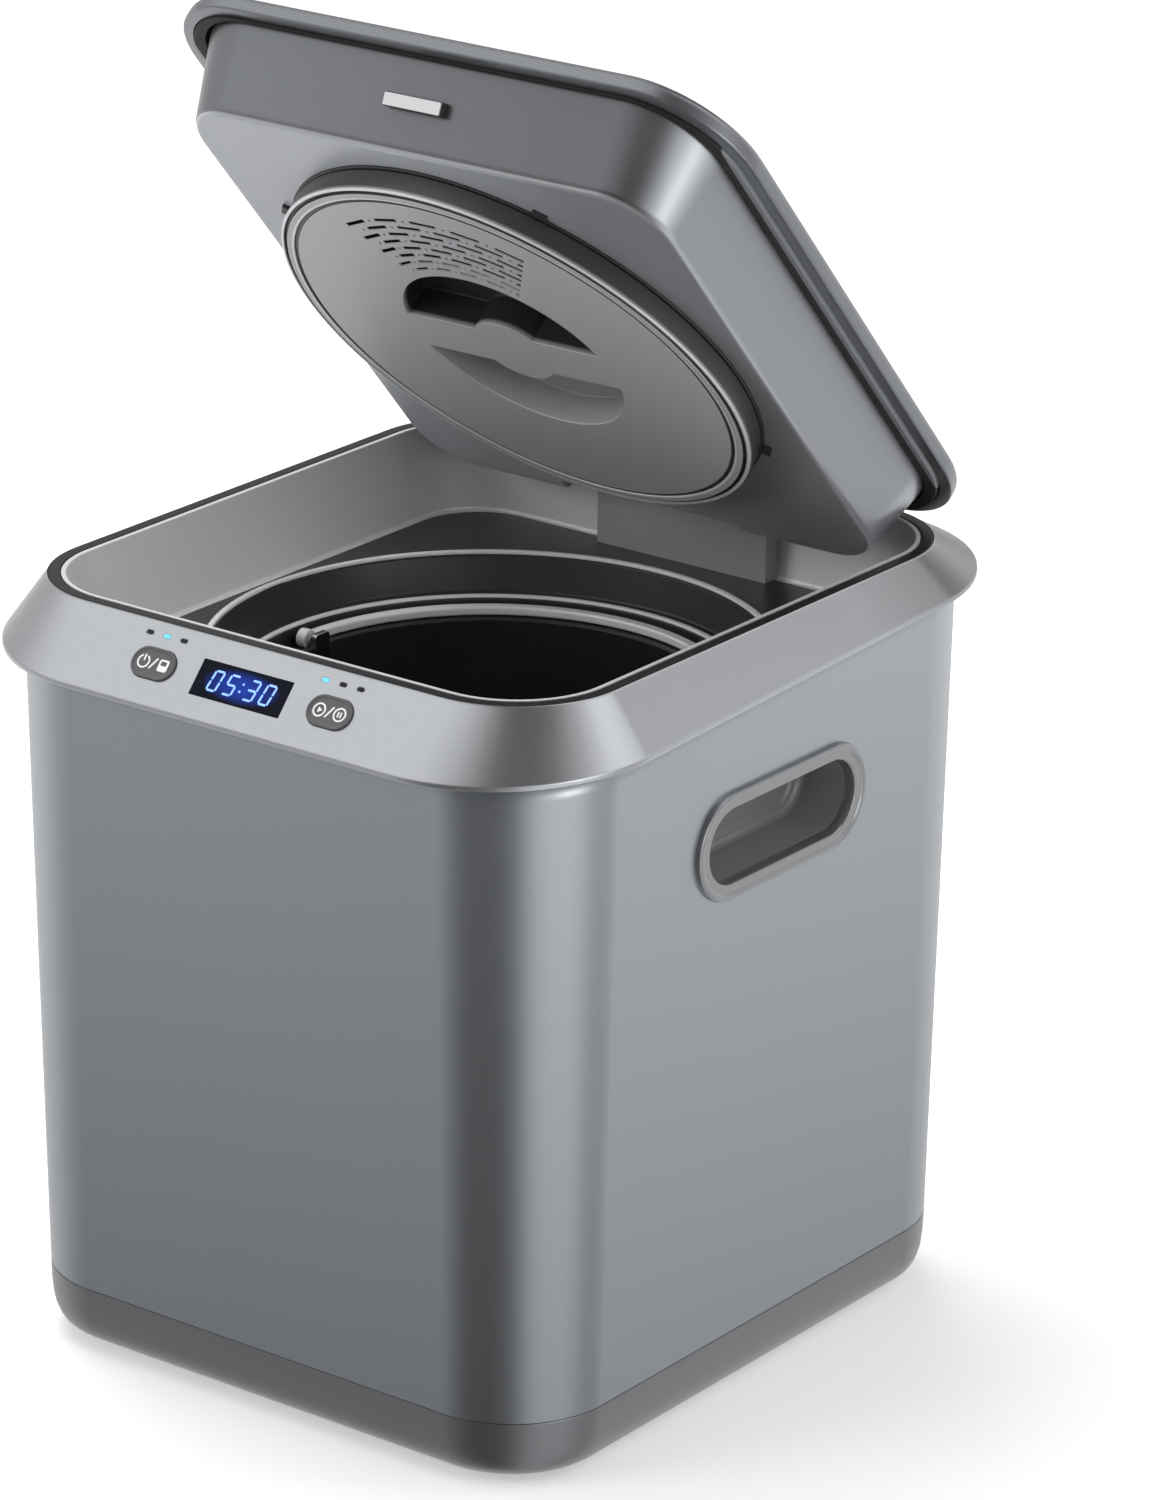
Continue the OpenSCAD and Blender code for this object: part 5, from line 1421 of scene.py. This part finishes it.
class COMPOSTER_OT_inner_parts(bpy.types.Operator):
    """Give each solid that is left showing its finish"""
    bl_idname = "composter.inner_parts"
    bl_label = "Inner parts"

    def execute(self, context):
        wear = {
            "zinc": "base_screws catch_magnet chassis well_skirt",
            "steel": "hinge_pin motor_shaft output_shaft spindle well",
            "black_moulding": "display_module fan_housing fan_rotor",
            "board": "control_board power_board",
            "light_moulding": "light_guide_left light_guide_right",
            "carbon": "heater filter_cartridge",
            "bronze": "shaft_bearing pinion",
            "cast": "gear_case",
            "base_paint": "motor",
            "nylon": "output_gear",
        }
        for name, nodes in wear.items():
            for node in nodes.split():
                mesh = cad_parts[node].data
                mesh.materials.clear()
                mesh.materials.append(finish(name))
        return report(self, "inner parts finished")


class COMPOSTER_OT_stage(bpy.types.Operator):
    """Lay the pale floor, hang the soft lights and set the camera"""
    bl_idname = "composter.stage"
    bl_label = "Stage"

    def execute(self, context):
        fresh()
        bpy.ops.mesh.primitive_plane_add(size=12, location=(0, 0, 0))
        floor = context.object
        floor.name = "floor"
        f = new_finish("floor_card")
        seen = f.node("ShaderNodeLightPath", out="Is Camera Ray")
        speck = f.noise(14.0, 3.0)
        f.set(Base_Color=f.blend(speck, (0.80, 0.80, 0.80), (0.83, 0.83, 0.83)),
              Roughness=0.9 - speck * 0.05,
              Emission_Color=f.blend(seen, (0, 0, 0), (0.37, 0.37, 0.37)),
              Alpha=1.0 - f.node("ShaderNodeLightPath", out="Is Glossy Ray"))
        f.shader.inputs["Emission Strength"].default_value = 1.0
        f.shader.inputs["Specular IOR Level"].default_value = 0.0
        floor.data.materials.append(f.material)
        self.world(context)
        for name, at, aim, size, power in (
                ("key_light", (2.4, -0.6, 2.2), (0, 0, 0.2), (1.6, 1.6), 20.0),
                ("front_light", (-1.7, -2.6, 1.2), (0, 0, 0.3), (1.6, 1.6), 31.0),
                ("top_light", (-1.1, 0.5, 2.8), (0, 0, 0), (1.8, 1.8), 44.0)):
            fresh()
            bpy.ops.object.light_add(type="AREA", location=at)
            lamp = context.object
            lamp.name = name
            lamp.data.shape, lamp.data.size, lamp.data.size_y = "RECTANGLE", *size
            lamp.data.energy = power
            lamp.visible_glossy = False
            way = Vector(aim) - Vector(at)
            lamp.rotation_euler = way.to_track_quat("-Z", "Y").to_euler()
        self.camera(context)
        context.scene.view_settings.view_transform = "Standard"
        return report(self, "stage set")

    def world(self, context):
        """White to the camera; for reflections a pale room with soft boxes and a dark gap."""
        context.scene.world = bpy.data.worlds.new("studio")
        room = Finish(context.scene.world, "Background", "Generated")
        seen = room.node("ShaderNodeLightPath", out="Is Camera Ray")
        level_way = room.node("ShaderNodeVectorMath", {"operation": "MULTIPLY"},
                              {0: room.at, 1: (1.0, 1.0, 0.0)})
        level_way = room.node("ShaderNodeVectorMath", {"operation": "NORMALIZE"}, {0: level_way})
        up = room.axis("Z")

        def screen(azimuth, half, edge):
            """1 within half degrees of a direction (0 front, 90 right), fading over edge."""
            a = math.radians(azimuth)
            dot = room.node("ShaderNodeVectorMath", {"operation": "DOT_PRODUCT"},
                            {0: level_way, 1: (math.sin(a), -math.cos(a), 0.0)}, "Value")
            dot = dot.clamp(-1.0, 1.0)
            away = dot.maths("ARCCOSINE", dot)
            return ((math.radians(half + edge) - away) / math.radians(edge)).clamp()

        spot = room.node("ShaderNodeVectorMath", {"operation": "DOT_PRODUCT"},
                         {0: room.at, 1: (0.992, -0.087, 0.087)}, "Value").clamp() ** 60.0
        low = (0.53 - screen(8, 20, 28) * 0.43 + screen(78, 20, 15) * 0.42
               + screen(168, 24, 8) * 0.42 + screen(-115, 30, 30) * 0.4 * (up * -5.0).clamp())
        high = (0.6 + screen(-62, 30, 30) * 0.42 - screen(50, 24, 28) * 0.58
                + screen(127, 8, 14) * 0.85 - screen(180, 22, 14) * 0.45)
        level = low + (high - low) * ((up - 0.3) * 4.0).clamp() + spot * 3.2
        level = level.clamp(0.03, 3.0)
        level = seen + (1.0 - seen) * level
        room.set(Color=room.node("ShaderNodeCombineColor", None, {0: level, 1: level, 2: level}))

    def camera(self, context):
        """Camera fitted to the photograph's view."""
        fresh()
        bpy.ops.object.camera_add()
        camera = context.object
        camera.name = "view"
        az, el, roll = (math.radians(a) for a in (37.14, 20.44, 0.53))
        eye = Vector((1.51691, -1.94743, 1.15923))
        away = Vector((-math.sin(az) * math.cos(el), math.cos(az) * math.cos(el), -math.sin(el)))
        right = away.cross(Vector((0, 0, 1))).normalized()
        up = right.cross(away)
        across = math.cos(roll) * right + math.sin(roll) * up
        over = -math.sin(roll) * right + math.cos(roll) * up
        turned = Matrix((across, over, -away)).transposed().to_4x4()
        camera.matrix_world = Matrix.Translation(eye) @ turned
        camera.data.sensor_fit = "VERTICAL"
        camera.data.sensor_height = 36.0
        camera.data.lens = 6580.0 / 1500.0 * 36.0
        camera.data.clip_start, camera.data.clip_end = 0.05, 60.0
        context.scene.camera = camera


class COMPOSTER_PT_panel(bpy.types.Panel):
    """Colours, sizes and pieces of the composter"""
    bl_idname = "COMPOSTER_PT_panel"
    bl_label = "Composter"
    bl_space_type = "VIEW_3D"
    bl_region_type = "UI"
    bl_category = "Composter"

    def draw(self, context):
        for group in (context.scene.composter_colours, context.scene.composter_sizes):
            column = self.layout.column(align=True)
            for name in group.__annotations__:
                column.prop(group, name)
        for step in STEPS:
            self.layout.operator(step.bl_idname)


STEPS = (COMPOSTER_OT_housing, COMPOSTER_OT_rim, COMPOSTER_OT_recess, COMPOSTER_OT_handles,
         COMPOSTER_OT_panel, COMPOSTER_OT_hinge, COMPOSTER_OT_lid, COMPOSTER_OT_filter_cover,
         COMPOSTER_OT_bucket, COMPOSTER_OT_agitator, COMPOSTER_OT_rear, COMPOSTER_OT_inner_parts,
         COMPOSTER_OT_stage)
CLASSES = (ComposterColours, ComposterSizes) + STEPS + (COMPOSTER_PT_panel,)


def register():
    for made in CLASSES:
        bpy.utils.register_class(made)
    bpy.types.Scene.composter_colours = PointerProperty(type=ComposterColours)
    bpy.types.Scene.composter_sizes = PointerProperty(type=ComposterSizes)


def unregister():
    del bpy.types.Scene.composter_sizes
    del bpy.types.Scene.composter_colours
    for made in reversed(CLASSES):
        bpy.utils.unregister_class(made)


def main():
    register()
    for step in STEPS:
        group, name = step.bl_idname.split(".")
        getattr(getattr(bpy.ops, group), name)()


if __name__ == "__main__":
    main()
